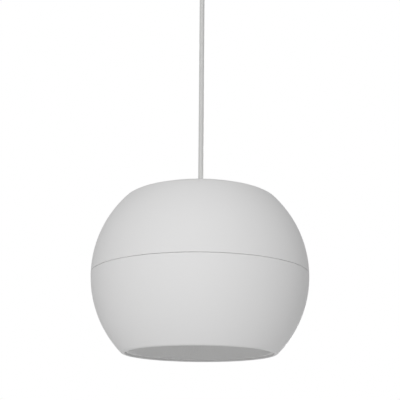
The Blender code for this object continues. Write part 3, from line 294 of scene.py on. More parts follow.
def turned(outline, sides=96, base=0.0, steps=4):
    """A bmesh of an outline turned about the cord's line. One that starts on the axis ends there too."""
    form = bmesh.new()
    line = [form.verts.new((radius, 0, base + height)) for radius, height in softened(outline, steps)]
    pairs = neighbours(line)
    if outline[0][0] == 0:
        pairs.pop()
    edges = [form.edges.new(pair) for pair in pairs]
    bmesh.ops.spin(form, geom=line + edges, cent=(0, 0, 0), axis=(0, 0, 1), angle=2 * math.pi,
                   steps=sides, use_merge=True)
    bmesh.ops.remove_doubles(form, verts=form.verts, dist=0.000001)
    bmesh.ops.recalc_face_normals(form, faces=form.faces)
    return form


def ring(outer, inner, bottom, top, edge=0.0, sides=96, base=0.0):
    """A turned ring of square section, with its outer edges rounded where it is told to."""
    rounding = [edge] if edge else []
    outline = [(outer, top, *rounding), (outer, bottom, *rounding), (inner, bottom), (inner, top)]
    return turned(outline, sides, base)


def moved(form, spot, lay=Matrix()):
    """The form, turned and then moved to a spot."""
    bmesh.ops.transform(form, matrix=Matrix.Translation(spot) @ lay, verts=form.verts)
    return form


def merged(form, *others):
    """The form with other closed solids added to the same piece."""
    for other in others:
        mesh = as_mesh("part", other)
        form.from_mesh(mesh)
        bpy.data.meshes.remove(mesh)
    return form


def new_piece(name, form, material, node, body="housing", crease=35):
    """A finished object from a bmesh, smooth but for its real edges, in place of its CAD node."""
    piece = put(name, as_mesh(name, form))
    piece.data.shade_smooth()
    piece.data.set_sharp_from_angle(angle=math.radians(crease))
    piece.data.materials.append(material)
    if body:
        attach(piece, body)
    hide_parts(node)
    return piece


def shoulder_center():
    """Centre of the round that joins the flat crown to the ball."""
    to_crown = CROWN_ROUND - SHOULDER
    to_ball = BALL_RADIUS - SHOULDER
    height = (to_crown ** 2 - to_ball ** 2 - crown_center ** 2) / (-2 * crown_center)
    return math.sqrt(to_ball ** 2 - height ** 2), height


def dome(inset, start_radius, end_height, steps):
    """The upper half's line at an inset from the outside, from the crown down to a height."""
    across, height = shoulder_center()
    crown_end = math.atan2(height - crown_center, across)
    ball_start = math.atan2(height, across)
    crown, shoulder, ball = CROWN_ROUND - inset, SHOULDER - inset, BALL_RADIUS - inset
    over, bend, down = steps
    return (arc((0, crown_center), crown, math.acos(start_radius / crown), crown_end, over)[:-1]
            + arc((across, height), shoulder, crown_end, ball_start, bend)[:-1]
            + arc((0, 0), ball, ball_start, math.asin(end_height / ball), down))


SHELL_SIDES = 160
BALL_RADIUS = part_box("lower_shell")[1].x
WALL = 0.003
CROWN_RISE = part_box("upper_shell")[1].z - SEAM
CROWN_ROUND = 0.254
SHOULDER = 0.0182
PAD_RADIUS = 0.0115
BOSS_RADIUS = 0.014
BOSS_DEPTH = 0.003
ENTRY_RADIUS = 0.0063
SEAM_EDGE = 0.0005
SPIGOT_DEPTH = 0.006
SPIGOT_WALL = 0.0022
SPIGOT_RISE = 0.005
MOUTH_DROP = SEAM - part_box("lower_shell")[0].z
LIP_RADIUS = 0.005
MOUTH_RADIUS = 0.0872
MOUTH_EDGE = 0.0006
COLLAR_RADIUS = 0.0902
GRILLE_RECESS = 0.0025
GRILLE_HEIGHT = 0.0045
GRILLE_SEAT = 0.0015
FLANGE_DEPTH = 0.0133
FLANGE_THICKNESS = 0.003
FLANGE_RADIUS = 0.068
SCREW_CIRCLE = 0.0775
DRIVER_BOSS = (0.0045, 0.0023)
DRIVER_BOSS_HEIGHT = 0.011
POST = (0.004, 0.0018)
POSTS = ((0.046, -0.028, 0.088), (0.046, 0.028, 0.088), (-0.045, -0.014, 0.080), (-0.045, 0.014, 0.080))

white = finish("white_shell", (0.80, 0.798, 0.798), 0.72, (9, 0.008), (1900, 0.03), 0.2)
crown_center = CROWN_RISE - CROWN_ROUND
half_gap = SEAM_GAP / 2
edge_start = half_gap + 2 * SEAM_EDGE
inside = BALL_RADIUS - WALL
socket_depth = SPIGOT_DEPTH + SEAM_GAP
socket = math.sqrt(inside ** 2 - socket_depth ** 2)
spigot = socket - SEAM_GAP
boss_face = CROWN_RISE - WALL - BOSS_DEPTH
upper = turned([
    (ENTRY_RADIUS, CROWN_RISE, 0.0002),
    (PAD_RADIUS, CROWN_RISE, 0.0003),
    *dome(0, PAD_RADIUS + 0.001, edge_start, (14, 10, 30)),
    (BALL_RADIUS, half_gap, SEAM_EDGE),
    (spigot, half_gap),
    (spigot, -SPIGOT_DEPTH, SEAM_EDGE),
    (spigot - SPIGOT_WALL, -SPIGOT_DEPTH),
    (spigot - SPIGOT_WALL, 0),
    *reversed(dome(WALL, BOSS_RADIUS, SPIGOT_RISE, (6, 5, 12))),
    (BOSS_RADIUS, boss_face),
    (ENTRY_RADIUS, boss_face)], SHELL_SIDES, SEAM)
for x, y, foot in POSTS:
    reach = math.hypot(x, y) + POST[0]
    top = crown_center + math.sqrt(CROWN_ROUND ** 2 - reach ** 2) - WALL / 2
    merged(upper, moved(ring(*POST, SEAM + foot, SEAM + top, sides=24), (x, y, 0)))
new_piece("upper_housing", upper, white, "upper_shell")

lip_height = LIP_RADIUS - MOUTH_DROP
lip_center = math.sqrt((BALL_RADIUS - LIP_RADIUS) ** 2 - lip_height ** 2)
lip_start = math.atan2(lip_height, lip_center)
seat = GRILLE_RECESS + GRILLE_HEIGHT + SEAM_GAP - MOUTH_DROP
flange = FLANGE_DEPTH - MOUTH_DROP
lower = turned([
    (BALL_RADIUS, -half_gap, SEAM_EDGE),
    *arc((0, 0), BALL_RADIUS, -math.asin(edge_start / BALL_RADIUS), lip_start, 34)[:-1],
    *arc((lip_center, lip_height), LIP_RADIUS, lip_start, -math.pi / 2, 10),
    (MOUTH_RADIUS, -MOUTH_DROP, MOUTH_EDGE),
    (MOUTH_RADIUS, seat),
    (MOUTH_RADIUS - GRILLE_SEAT, seat),
    (MOUTH_RADIUS - GRILLE_SEAT, flange),
    (FLANGE_RADIUS, flange, SEAM_EDGE),
    (FLANGE_RADIUS, flange + FLANGE_THICKNESS),
    (COLLAR_RADIUS, flange + FLANGE_THICKNESS),
    *arc((0, 0), inside, -math.acos(COLLAR_RADIUS / inside), -math.asin(socket_depth / inside), 12),
    (socket, -half_gap)], SHELL_SIDES, SEAM)
boss_start = SEAM + flange + FLANGE_THICKNESS / 2
boss_end = SEAM + flange + FLANGE_THICKNESS + DRIVER_BOSS_HEIGHT
for spot in around(SCREW_CIRCLE, 0, 4, math.pi / 4):
    merged(lower, moved(ring(*DRIVER_BOSS, boss_start, boss_end, sides=24), spot))
new_piece("lower_housing", lower, white, "lower_shell")


# Grille: a pan pressed from one millimetre steel, punched in a staggered pattern and powder coated.
# Its rim is pushed into the mouth until it meets the step in the collar.
HOLE_RADIUS = 0.00112
HOLE_PITCH = 0.0035
HOLE_SIDES = 12
PAN_RADIUS = MOUTH_RADIUS - SEAM_GAP
PAN_EDGE = 0.0009
PAN_SHEET = 0.0010
PLAIN_BORDER = 0.0022

coat = finish("grille_paint", (0.70, 0.70, 0.695), 0.60, (14, 0.01), (1300, 0.02), 0.25)
cell = bmesh.new()
spokes = []
for step in range(HOLE_SIDES):
    turn = math.pi / 6 + 2 * math.pi * step / HOLE_SIDES
    to_edge = HOLE_PITCH / 2 if step % 2 else HOLE_PITCH / math.sqrt(3)
    spokes.append([cell.verts.new(polar(radius, turn, 0)) for radius in (HOLE_RADIUS, to_edge)])
for (near, far), (next_near, next_far) in neighbours(spokes):
    cell.faces.new((near, far, next_far, next_near))
cell_mesh = as_mesh("cell", cell)

pan = bmesh.new()
row_rise = HOLE_PITCH * math.sqrt(3) / 2
flat_radius = PAN_RADIUS - PAN_EDGE
reach = flat_radius - PLAIN_BORDER - HOLE_RADIUS
rows = int(reach / row_rise)
for row in range(-rows, rows + 1):
    for column in range(-rows - 2, rows + 3):
        x = (column + (row % 2) / 2) * HOLE_PITCH
        y = row * row_rise
        if math.hypot(x, y) <= reach:
            step = Matrix.Translation((x, y, 0))
            cell_mesh.transform(step)
            pan.from_mesh(cell_mesh)
            cell_mesh.transform(step.inverted())
bpy.data.meshes.remove(cell_mesh)
bmesh.ops.remove_doubles(pan, verts=pan.verts, dist=0.00002)
hole_edge = 2 * HOLE_RADIUS * math.sin(math.pi / HOLE_SIDES)
border = [edge for edge in pan.edges if edge.is_boundary and edge.calc_length() > 1.3 * hole_edge]
circle = bmesh.ops.create_circle(pan, segments=SHELL_SIDES, radius=flat_radius)["verts"]
rim_edges = list({edge for corner in circle for edge in corner.link_edges})
bmesh.ops.triangle_fill(pan, use_beauty=True, edges=border + rim_edges)
rim_line = arc((flat_radius, PAN_EDGE), PAN_EDGE, -math.pi / 2, 0, 5)[1:] + [(PAN_RADIUS, GRILLE_HEIGHT)]
for radius, height in rim_line:
    raised = bmesh.ops.extrude_edge_only(pan, edges=rim_edges)["geom"]
    rim_edges = [item for item in raised if isinstance(item, bmesh.types.BMEdge) and item.is_boundary]
    for corner in {corner for edge in rim_edges for corner in edge.verts}:
        corner.co = (*(corner.co.xy.normalized() * radius), height)
moved(pan, (0, 0, SEAM - MOUTH_DROP + GRILLE_RECESS))
bmesh.ops.recalc_face_normals(pan, faces=pan.faces)
if sum(face.normal.z * face.calc_area() for face in pan.faces) > 0:
    bmesh.ops.reverse_faces(pan, faces=pan.faces)
pan.normal_update()
inward = {corner.co.to_tuple(7): -corner.normal * PAN_SHEET for corner in pan.verts}
for item in bmesh.ops.extrude_face_region(pan, geom=list(pan.faces))["geom"]:
    if isinstance(item, bmesh.types.BMVert):
        item.co += inward[item.co.to_tuple(7)]
bmesh.ops.recalc_face_normals(pan, faces=pan.faces)
new_piece("grille_sheet", pan, coat, "grille")


# Gland: a moulded nylon collar where the cord enters the crown, pulled down from inside by a nut.
# A copper sleeve crimped on the cord under the nut carries the weight of the speaker.
def carved(form, cutter, operation="DIFFERENCE"):
    """The form with a cutter's volume taken out of it, or trimmed to it, as a new bmesh."""
    holders = [put("carving", as_mesh("carving", part)) for part in (form, cutter)]
    step = holders[0].modifiers.new("carve", "BOOLEAN")
    step.object = holders[1]
    step.operation = operation
    step.solver = "EXACT"
    result = bmesh.new()
    result.from_object(holders[0], bpy.context.evaluated_depsgraph_get())
    for holder in holders:
        bpy.data.meshes.remove(holder.data)
    return result


def rods(radius, length, places, axis="Z", sides=24):
    """Round bars of one size along an axis, each centred on its place."""
    form = bmesh.new()
    lay = Matrix.Rotation(0 if axis == "Z" else math.pi / 2, 4, "Y" if axis == "X" else "X")
    for place in places:
        bmesh.ops.create_cone(form, cap_ends=True, segments=sides, radius1=radius, radius2=radius,
                              depth=length, matrix=Matrix.Translation(place) @ lay)
    return form


def drilled(form, radius, length, places, axis="Z", sides=24):
    """The form with round holes or grooves cut in it."""
    return carved(form, rods(radius, length, places, axis, sides))


def wire(points, radius, smoothness=1):
    """A round wire along a row of points, with closed ends."""
    line = drawn("wire", points, radius, smoothness)
    holder = put("wire", line)
    mesh = bpy.data.meshes.new_from_object(holder.evaluated_get(bpy.context.evaluated_depsgraph_get()))
    form = bmesh.new()
    form.from_mesh(mesh)
    bpy.data.meshes.remove(mesh)
    bpy.data.curves.remove(line)
    return form


def thread(radius, pitch, bottom, top, crest=0.0003, steps=14, smoothness=1):
    """The raised crest of a thread, wound up a shank on the cord's line."""
    count = int((top - bottom) / pitch * steps)
    turns = [2 * math.pi * index / steps for index in range(count + 1)]
    line = [polar(radius, turn, bottom + pitch * turn / (2 * math.pi)) for turn in turns]
    return wire(line, crest, smoothness)


def bar(size, spot, lay=Matrix()):
    """A plain square bar of three sizes, turned and then moved to a spot."""
    form = bmesh.new()
    bmesh.ops.create_cube(form, size=1, matrix=Matrix.Translation(spot) @ lay @ Matrix.Diagonal((*size, 1)))
    return form


def hexagon_nut(across, bore, bottom, top):
    """A hexagon nut whose corners are turned off at both faces."""
    middle = [(0, 0, (top + bottom) / 2)]
    edge = 0.14 * across
    trim = turned([(0, top), (across - edge, top), (across + edge, top - 1.2 * edge),
                   (across + edge, bottom + 1.2 * edge), (across - edge, bottom), (0, bottom)], 48)
    past = 2 * (top - bottom)
    prism = carved(rods(across, past, middle, sides=6), trim, "INTERSECT")
    return drilled(prism, bore, past, middle, sides=32)


FIT = 0.0003
THREAD_FIT = 0.0004
THREAD_PITCH = 0.0015
THREAD_SINK = 0.0001
GLAND_RADIUS = 0.010
GLAND_HEIGHT = 0.008
GLAND_SHANK = 0.006
GLAND_DEPTH = 0.014
GLAND_FLUTES = 30
GLAND_FLUTE = (0.00042, 0.0040)
GLAND_NUT_RADIUS = 0.010
GLAND_NUT_HEIGHT = 0.005
STOP_RADIUS = 0.0055
STOP_HEIGHT = 0.010
STOP_DENT = 0.0005

nylon = finish("white_nylon", (0.79, 0.785, 0.775), 0.42, (40, 0.012), (3000, 0.012), 0.4)
bore = CORD_RADIUS + FIT
crown = SEAM + CROWN_RISE
gland_end = crown - GLAND_DEPTH
gland = turned([
    (bore, crown + GLAND_HEIGHT),
    (bore + 0.0022, crown + GLAND_HEIGHT, 0.0009),
    (GLAND_RADIUS - 0.0012, crown + 0.0041, 0.0012),
    (GLAND_RADIUS, crown + 0.0036, 0.0004),
    (GLAND_RADIUS, crown + FIT, 0.0003),
    (GLAND_SHANK, crown + FIT),
    (GLAND_SHANK, gland_end, 0.0004),
    (bore, gland_end)])
grooves = around(1.012 * GLAND_RADIUS, crown + 0.0015, GLAND_FLUTES)
gland = drilled(gland, *GLAND_FLUTE, grooves, sides=10)
merged(gland, thread(GLAND_SHANK - THREAD_SINK, THREAD_PITCH, gland_end + 0.0008, crown - 0.0068))
new_piece("gland_collar", gland, nylon, "cord_gland", crease=40)
boss = SEAM + boss_face - FIT
nut = hexagon_nut(GLAND_NUT_RADIUS, GLAND_SHANK + THREAD_FIT, boss - GLAND_NUT_HEIGHT, boss)
new_piece("gland_hexagon", nut, nylon, "gland_nut")

copper = finish("copper", (0.72, 0.42, 0.29), 0.32, (200, 0.10), (6000, 0.01), metallic=1.0)
stop_top = gland_end - FIT
stop_line = [(STOP_RADIUS, stop_top, 0.0004)]
for share in (0.25, 0.5, 0.75):
    middle = stop_top - STOP_HEIGHT * share
    for rise, depth in ((0.0008, 0), (0, STOP_DENT), (-0.0008, 0)):
        stop_line.append((STOP_RADIUS - depth, middle + rise))
stop_line += [(STOP_RADIUS, stop_top - STOP_HEIGHT, 0.0004), (bore, stop_top - STOP_HEIGHT), (bore, stop_top)]
new_piece("crimped_stop", turned(stop_line, 48), copper, "cord_stop")


# Ceiling fitting: a zinc-plated strap bent to two ears, screwed up through its slots, and a cup over it.
# The cup hangs on the ears by two cross-head screws and is moulded in the same white as the housing.
def screw(name, node, sizes, length, place, turn=math.pi):
    """A zinc cross-head screw with a rolled thread, its head up its own Z, turned about Y at its place.

    Its sizes are its head's radius and rise, and its shank's radius.
    """
    head, rise, shank = sizes
    core = 0.84 * shank
    form = turned([
        (0, rise),
        (0.55 * head, 0.94 * rise),
        (0.88 * head, 0.66 * rise),
        (head, 0.30 * rise, 0.0002),
        (head, 0, 0.0001),
        (core, 0),
        (core, 1.2 * core - length),
        (0, -length)], 32)
    for quarter in range(2):
        spin = Matrix.Rotation(quarter * math.pi / 2 + 0.5, 4, "Z")
        form = carved(form, bar((1.15 * head, 0.24 * head, 1.1 * rise), (0, 0, 0.95 * rise), spin))
    merged(form, thread(0.88 * shank, SCREW_PITCH, 1.3 * shank - length, -0.0012, 0.0002, 12, 0))
    new_piece(name, moved(form, place, Matrix.Rotation(turn, 4, "Y")), zinc, node, crease=32)


def slab(outline, thickness, holes=()):
    """A flat sheet in the XY plane, its top face at zero, cut to an outline with holes punched in it."""
    form = bmesh.new()
    for row in (outline, *holes):
        for pair in neighbours([form.verts.new((x, y, 0)) for x, y in row]):
            form.edges.new(pair)
    bmesh.ops.triangle_fill(form, use_beauty=True, edges=form.edges)
    bmesh.ops.dissolve_limit(form, angle_limit=0.01, verts=form.verts, edges=form.edges)
    sheet = bmesh.ops.extrude_face_region(form, geom=form.faces)["geom"]
    corners = [item for item in sheet if isinstance(item, bmesh.types.BMVert)]
    bmesh.ops.translate(form, vec=(0, 0, -thickness), verts=corners)
    bmesh.ops.recalc_face_normals(form, faces=form.faces)
    return form


def rounded(width, height, radius=None, center=(0, 0), steps=6):
    """The outline of a rectangle with round corners, or with round ends if it gives no radius."""
    radius = radius or min(width, height) / 2 - 0.00001
    corners = []
    for quarter, (side, end) in enumerate(((1, 1), (-1, 1), (-1, -1), (1, -1))):
        middle = (center[0] + side * (width / 2 - radius), center[1] + end * (height / 2 - radius))
        corners += arc(middle, radius, quarter * math.pi / 2, (quarter + 1) * math.pi / 2, steps)
    return corners


def folded(form, flat, bend):
    """The flat sheet with both ends bent down round a radius, where they pass the flat middle's half."""
    for side in (-1, 1):
        for step in range(9):
            along = side * (flat + bend * math.pi / 2 * step / 8)
            bmesh.ops.bisect_plane(form, geom=[*form.verts, *form.edges, *form.faces], dist=0.000001,
                                   plane_co=(along, 0, 0), plane_no=(1, 0, 0))
    for corner in form.verts:
        side = math.copysign(1, corner.co.x)
        along = abs(corner.co.x) - flat
        if along > 0:
            turn = min(along / bend, math.pi / 2)
            straight = max(0, along - bend * math.pi / 2)
            reach = bend + corner.co.z
            corner.co.x = side * (flat + reach * math.sin(turn))
            corner.co.z = reach * math.cos(turn) - bend - straight
    return form


def cup_wall(inset, steps=16):
    """The cup's skirt and the round below it, from the skirt's end down to the flat foot."""
    reach = CUP_RADIUS - CUP_FOOT - inset
    depth = CUP_DEPTH - CUP_SKIRT - inset
    turns = [math.pi / 2 * step / steps for step in range(steps + 1)]
    return [(CUP_FOOT + reach * math.cos(turn), -CUP_SKIRT - depth * math.sin(turn)) for turn in turns]


SCREW_PITCH = 0.0009
SMALL_SCREW = (0.0028, 0.0018, 0.0014)
CUP_SCREW = (0.0036, 0.0022, 0.0019)
CUP_SCREW_LENGTH = 0.0085
CUP_SCREW_DROP = 0.009
CUP_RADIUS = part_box("ceiling_cup")[1].x
CUP_DEPTH = -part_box("ceiling_cup")[0].z
CUP_WALL = 0.0025
CUP_SKIRT = 0.017
CUP_FOOT = 0.012
CEILING_GAP = 0.0005
GRIP_SHANK = 0.005
STRAP_WIDTH = 0.020
STRAP_SHEET = 0.002
STRAP_BEND = 0.003
STRAP_CORNER = 0.003
EAR_DROP = 0.015
EAR_HOLE = 0.0046
SLOT_PLACE = 0.0265
SLOT_LENGTH = 0.0085
SLOT_WIDTH = 0.005
TERMINAL_X = 0.0155
TERMINAL_HOLE = 0.0036

zinc = finish("zinc_steel", (0.49, 0.50, 0.51), 0.38, (160, 0.14), (4000, 0.006), metallic=1.0)
cup = turned([
    (CUP_RADIUS, -CEILING_GAP, 0.0006),
    *cup_wall(0),
    (GRIP_SHANK + FIT, -CUP_DEPTH, 0.0003),
    (GRIP_SHANK + FIT, CUP_WALL - CUP_DEPTH),
    *reversed(cup_wall(CUP_WALL)),
    (CUP_RADIUS - CUP_WALL, -CEILING_GAP, 0.0003)], 128)
cup = drilled(cup, CUP_SCREW[2] + FIT, 3 * CUP_RADIUS, [(0, 0, -CUP_SCREW_DROP)], "X")
new_piece("cover_cup", cup, white, "ceiling_cup")
for name, side in (("left", -1), ("right", 1)):
    screw("cup_fixing_" + name, "cup_screw_" + name, CUP_SCREW, CUP_SCREW_LENGTH,
          (side * (CUP_RADIUS + FIT), 0, -CUP_SCREW_DROP), side * math.pi / 2)

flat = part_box("ceiling_bracket")[1].x - STRAP_BEND
run = flat + STRAP_BEND * math.pi / 2 + EAR_DROP - STRAP_BEND
ear_hole = run - (EAR_DROP - CUP_SCREW_DROP)
punched = [rounded(TERMINAL_HOLE, TERMINAL_HOLE, center=(TERMINAL_X, 0))]
for side in (-1, 1):
    punched.append(rounded(SLOT_LENGTH, SLOT_WIDTH, center=(side * SLOT_PLACE, 0)))
    punched.append(rounded(EAR_HOLE, EAR_HOLE, center=(side * ear_hole, 0)))
blank = slab(rounded(2 * run, STRAP_WIDTH, STRAP_CORNER), STRAP_SHEET, punched)
new_piece("fixing_strap", folded(blank, flat, STRAP_BEND), zinc, "ceiling_bracket")


# Cord grip: a nylon bush through the cup's foot, locked by a nut inside, with a grub screw on the cord.
# Its lower end is fluted to turn it by hand.
GRIP_RISE = 0.008
GRIP_RADIUS = 0.009
GRIP_DROP = 0.006
GRIP_FLUTES = 24
GRIP_FLUTE = (0.0005, 0.0030)
GRIP_NUT_RADIUS = 0.009
GRIP_NUT_HEIGHT = 0.004
GRUB_RADIUS = 0.0013
GRUB_KEY = (0.0007, 0.003)

cup_floor = CUP_WALL - CUP_DEPTH
grip_top = cup_floor + GRIP_RISE
grip_bottom = -CUP_DEPTH - GRIP_DROP
grub_height = grip_bottom + GRIP_DROP / 2
grip = turned([
    (bore, grip_top),
    (GRIP_SHANK, grip_top, 0.0004),
    (GRIP_SHANK, -CUP_DEPTH - FIT),
    (GRIP_RADIUS, -CUP_DEPTH - FIT, 0.0003),
    (GRIP_RADIUS, grip_bottom + 0.0015, 0.0006),
    (0.85 * GRIP_RADIUS, grip_bottom, 0.0004),
    (bore, grip_bottom, 0.0003)])
flutes = around(1.02 * GRIP_RADIUS, grip_bottom + 0.0035, GRIP_FLUTES)[1:]
grip = drilled(grip, *GRIP_FLUTE, flutes, sides=10)
grub_end = (GRIP_RADIUS, 0, grub_height)
grip = drilled(grip, GRUB_RADIUS + 0.0002, 2 * (GRIP_RADIUS - CORD_RADIUS), [grub_end], "X")
merged(grip, thread(GRIP_SHANK - THREAD_SINK, THREAD_PITCH, cup_floor + 0.0045, grip_top - 0.0006))
new_piece("grip_bush", grip, nylon, "cord_grip", crease=40)
nut_seat = cup_floor + FIT
nut = hexagon_nut(GRIP_NUT_RADIUS, GRIP_SHANK + THREAD_FIT, nut_seat, nut_seat + GRIP_NUT_HEIGHT)
new_piece("grip_hexagon", nut, nylon, "cord_grip_nut")
grub_reach = GRIP_RADIUS - bore
grub = rods(GRUB_RADIUS, grub_reach, [(bore + grub_reach / 2, 0, grub_height)], "X", 20)
grub = drilled(grub, *GRUB_KEY, [grub_end], "X", 6)
new_piece("grub_screw", grub, zinc, "cord_grip_screw")


# Strand: the cord's steel strand is laid in an eye over a welded wire bail and crimped in an oval sleeve.
# It carries the weight, and the two cores run past it, slack, to the supply block on the strap.
def smooth(route, steps=6):
    """The route with more points on its way, so that it bends evenly through all of them."""
    places = [Vector(place) for place in route]
    places = [2 * places[0] - places[1], *places, 2 * places[-1] - places[-2]]
    result = []
    for a, b, c, d in zip(places, places[1:], places[2:], places[3:]):
        for step in range(steps):
            t = step / steps
            result.append(0.5 * (2 * b + (c - a) * t + (2 * a - 5 * b + 4 * c - d) * t ** 2
                                 + (3 * b - a - 3 * c + d) * t ** 3))
    return [*result, places[-2]]


def laid(route, radius, count, lay):
    """A strand: wires of even size laid round the route, each turning once in a lay's length."""
    single = radius * 0.42
    strand = bmesh.new()
    for number in range(count):
        across = None
        travelled = 0.0
        points = []
        for index, place in enumerate(route):
            ahead = (route[min(index + 1, len(route) - 1)] - route[max(index - 1, 0)]).normalized()
            across = across or ahead.orthogonal()
            across = (across - ahead * across.dot(ahead)).normalized()
            if index:
                travelled += (place - route[index - 1]).length
            turn = 2 * math.pi * (travelled / lay + number / count)
            aside = across * math.cos(turn) + ahead.cross(across) * math.sin(turn)
            points.append(place + (radius - single) * aside)
        merged(strand, wire(points, single, 0))
    return strand


BAIL_WIRE = 0.0015
BAIL_HALF = 0.007
BAIL_DROP = 0.016
STRAND_RADIUS = 0.0009
STRAND_SPACING = 0.0022
STRAND_OFFSET = 0.0014
STRAND_WIRES = 6
STRAND_LAY = 0.007
FERRULE_HEIGHT = 0.006
FERRULE_WALL = 0.0009
FERRULE_EDGE = 0.00015
PINCH = (0.0011, 0.010)

bail_seat = -STRAP_SHEET - FIT
bail_bow = arc((0, BAIL_HALF - BAIL_DROP), BAIL_HALF, 0, -math.pi, 24)
bail_line = [(BAIL_HALF, 0, bail_seat), *((x, 0, z) for x, z in bail_bow), (-BAIL_HALF, 0, bail_seat)]
new_piece("wire_bail", wire(bail_line, BAIL_WIRE, 4), zinc, "strand_bail")

eye = BAIL_WIRE + STRAND_RADIUS + 2 * FIT
half = STRAND_SPACING / 2
sleeve_top = -BAIL_DROP - 2 * eye
sleeve_bottom = sleeve_top - FERRULE_HEIGHT
strand_line = smooth([
    (-STRAND_OFFSET, 0, cord_top + FIT),
    (-STRAND_OFFSET, 0, cord_top + FIT + STRAND_RADIUS),
    (0, half, sleeve_bottom - FIT),
    (0, half, sleeve_top),
    *((0, y, z) for y, z in arc((0, -BAIL_DROP), eye, -math.pi / 6, 7 * math.pi / 6, 12)),
    (0, -half, sleeve_top),
    (0, -half, sleeve_bottom - FIT)], 8)
new_piece("strand_eye", laid(strand_line, STRAND_RADIUS, STRAND_WIRES, STRAND_LAY), zinc, "strand_loop")

sleeve_bore = 2 * (STRAND_RADIUS + FIT)
sleeve_width = sleeve_bore + 2 * FERRULE_WALL
outside, hollow = [rounded(width, width + STRAND_SPACING, steps=8) for width in (sleeve_width, sleeve_bore)]
sleeve = moved(slab(outside, FERRULE_HEIGHT, [hollow]), (0, 0, sleeve_top))
outer_edges = [edge for edge in sleeve.edges if edge.calc_length() < FERRULE_HEIGHT * 0.9
               and all(corner.co.xy.length > sleeve_bore / 2 + 0.0004 for corner in edge.verts)]
bmesh.ops.bevel(sleeve, geom=outer_edges, offset=FERRULE_EDGE, segments=2, affect="EDGES")
for share in (0.3, 0.7):
    level = sleeve_bottom + share * FERRULE_HEIGHT
    pinch = [(side * (sleeve_width / 2 + 0.0008), 0, level) for side in (-1, 1)]
    sleeve = drilled(sleeve, *PINCH, pinch, "Y", 20)
new_piece("crimp_sleeve", sleeve, copper, "loop_ferrule")


# Supply block: two-pole terminal block of natural nylon under the strap, with the cord's cores in it.
# A screw from below holds it to the strap's tapped hole.
def block(size, center, screws):
    """A moulded terminal block: two poles with a groove between, wire entries at both ends, screw holes."""
    form = bar(size, center)
    bmesh.ops.bevel(form, geom=form.edges, offset=BLOCK_EDGE, segments=3, affect="EDGES")
    x, y, z = center
    entries = [(x + side * size[0] / 2, y + pole * ENTRY_Y, z) for side in (-1, 1) for pole in (-1, 1)]
    form = drilled(form, WIRE_ENTRY, 2 * ENTRY_DEPTH, entries, "X", 20)
    form = carved(form, bar((2 * size[0], BLOCK_GROOVE, 2 * BLOCK_GROOVE), (x, y, z - size[2] / 2)))
    return drilled(form, SMALL_SCREW[2] + FIT, 2 * size[2], [(x, y + place, z) for place in screws], sides=20)


def lead(name, node, route, insulation):
    """An insulated core or lead, bent evenly along its route."""
    new_piece(name, wire(smooth(route), CORE_RADIUS, 2), insulation, node)


SUPPLY_BLOCK = (0.012, 0.020, 0.012)
BLOCK_EDGE = 0.0006
BLOCK_GROOVE = 0.0012
ENTRY_Y = 0.005
WIRE_ENTRY = 0.0018
ENTRY_DEPTH = 0.005
CORE_RADIUS = 0.001
CORE_SPACING = 0.0026

clear_nylon = finish("natural_nylon", (0.70, 0.69, 0.63), 0.38, (120, 0.03), (2500, 0.012))
supply_z = bail_seat - SUPPLY_BLOCK[2] / 2
supply = block(SUPPLY_BLOCK, (TERMINAL_X, 0, supply_z), [0])
new_piece("supply_block", supply, clear_nylon, "ceiling_terminal")
screw("supply_fixing", "ceiling_terminal_screw", SMALL_SCREW, SUPPLY_BLOCK[2] + STRAP_SHEET + FIT,
      (TERMINAL_X, 0, bail_seat - SUPPLY_BLOCK[2] - FIT))

brown = finish("brown_core", (0.15, 0.065, 0.03), 0.40, (150, 0.05), (3000, 0.01))
blue = finish("blue_core", (0.03, 0.11, 0.38), 0.40, (150, 0.05), (3000, 0.01))
PAIR = (("a", -1, brown), ("b", 1, blue))
entry_x = TERMINAL_X - SUPPLY_BLOCK[0] / 2 + ENTRY_DEPTH / 2
for letter, side, insulation in PAIR:
    start = side * CORE_SPACING / 2
    lead("supply_core_" + letter, "ceiling_core_" + letter, [
        (0.0007, start, cord_top + FIT),
        (0.0008, start, cord_top + 0.0020),
        (0.0036, side * 0.0032, cord_top + 0.0068),
        (0.0052, side * 0.0050, cord_top + 0.0140),
        (0.0048, side * 0.0054, supply_z - 0.0060),
        (0.0062, side * 0.0051, supply_z - 0.0012),
        (entry_x, side * ENTRY_Y, supply_z)], insulation)


# Driver frame: pressed steel basket with four spokes, screwed by its flat rim to the bosses in the mouth.
# A foam ring lies between the rim and the housing's flange.
def pressed(points, thickness, bend=0.0):
    """A turned sheet of even thickness about a line of points, with its bends rounded."""
    line = [Vector(point) for point in points]
    front, back = [], []
    for index, point in enumerate(line):
        before = (point - line[index - 1]).normalized() if index else None
        after = (line[index + 1] - point).normalized() if index + 1 < len(line) else None
        rounding = [bend] if bend and before and after else []
        before = before or after
        after = after or before
        normal = Vector((-before.y - after.y, before.x + after.x)).normalized()
        offset = normal * thickness / 2 / max(SHARPEST_BEND, normal.dot(Vector((-before.y, before.x))))
        front.append((*(point + offset), *rounding))
        back.append((*(point - offset), *rounding))
    return turned(front + back[::-1], 96, DRIVER_BASE, 3)


def window(middle):
    """A cutter for one window between two spokes: a ring's sector with round corners."""
    inner, outer = NECK_RADIUS + WINDOW_INSET[0], RIM_INNER - WINDOW_INSET[1]
    half = (math.pi / 2 - SPOKE_TURN) / 2
    flat = rounded(2 * half * outer, outer - inner, WINDOW_CORNER, (0, (inner + outer) / 2), 5)
    dense = []
    for (x, y), (next_x, next_y) in neighbours(flat):
        parts = 12 if abs(next_x - x) > 0.02 else 1
        dense += [(x + (next_x - x) * part / parts, y + (next_y - y) * part / parts) for part in range(parts)]
    depth = SHELF_HEIGHT - 2 * WINDOW_START
    cutter = slab([polar(y, middle + x / outer) for x, y in dense], depth)
    return moved(cutter, (0, 0, DRIVER_BASE + WINDOW_START + depth))


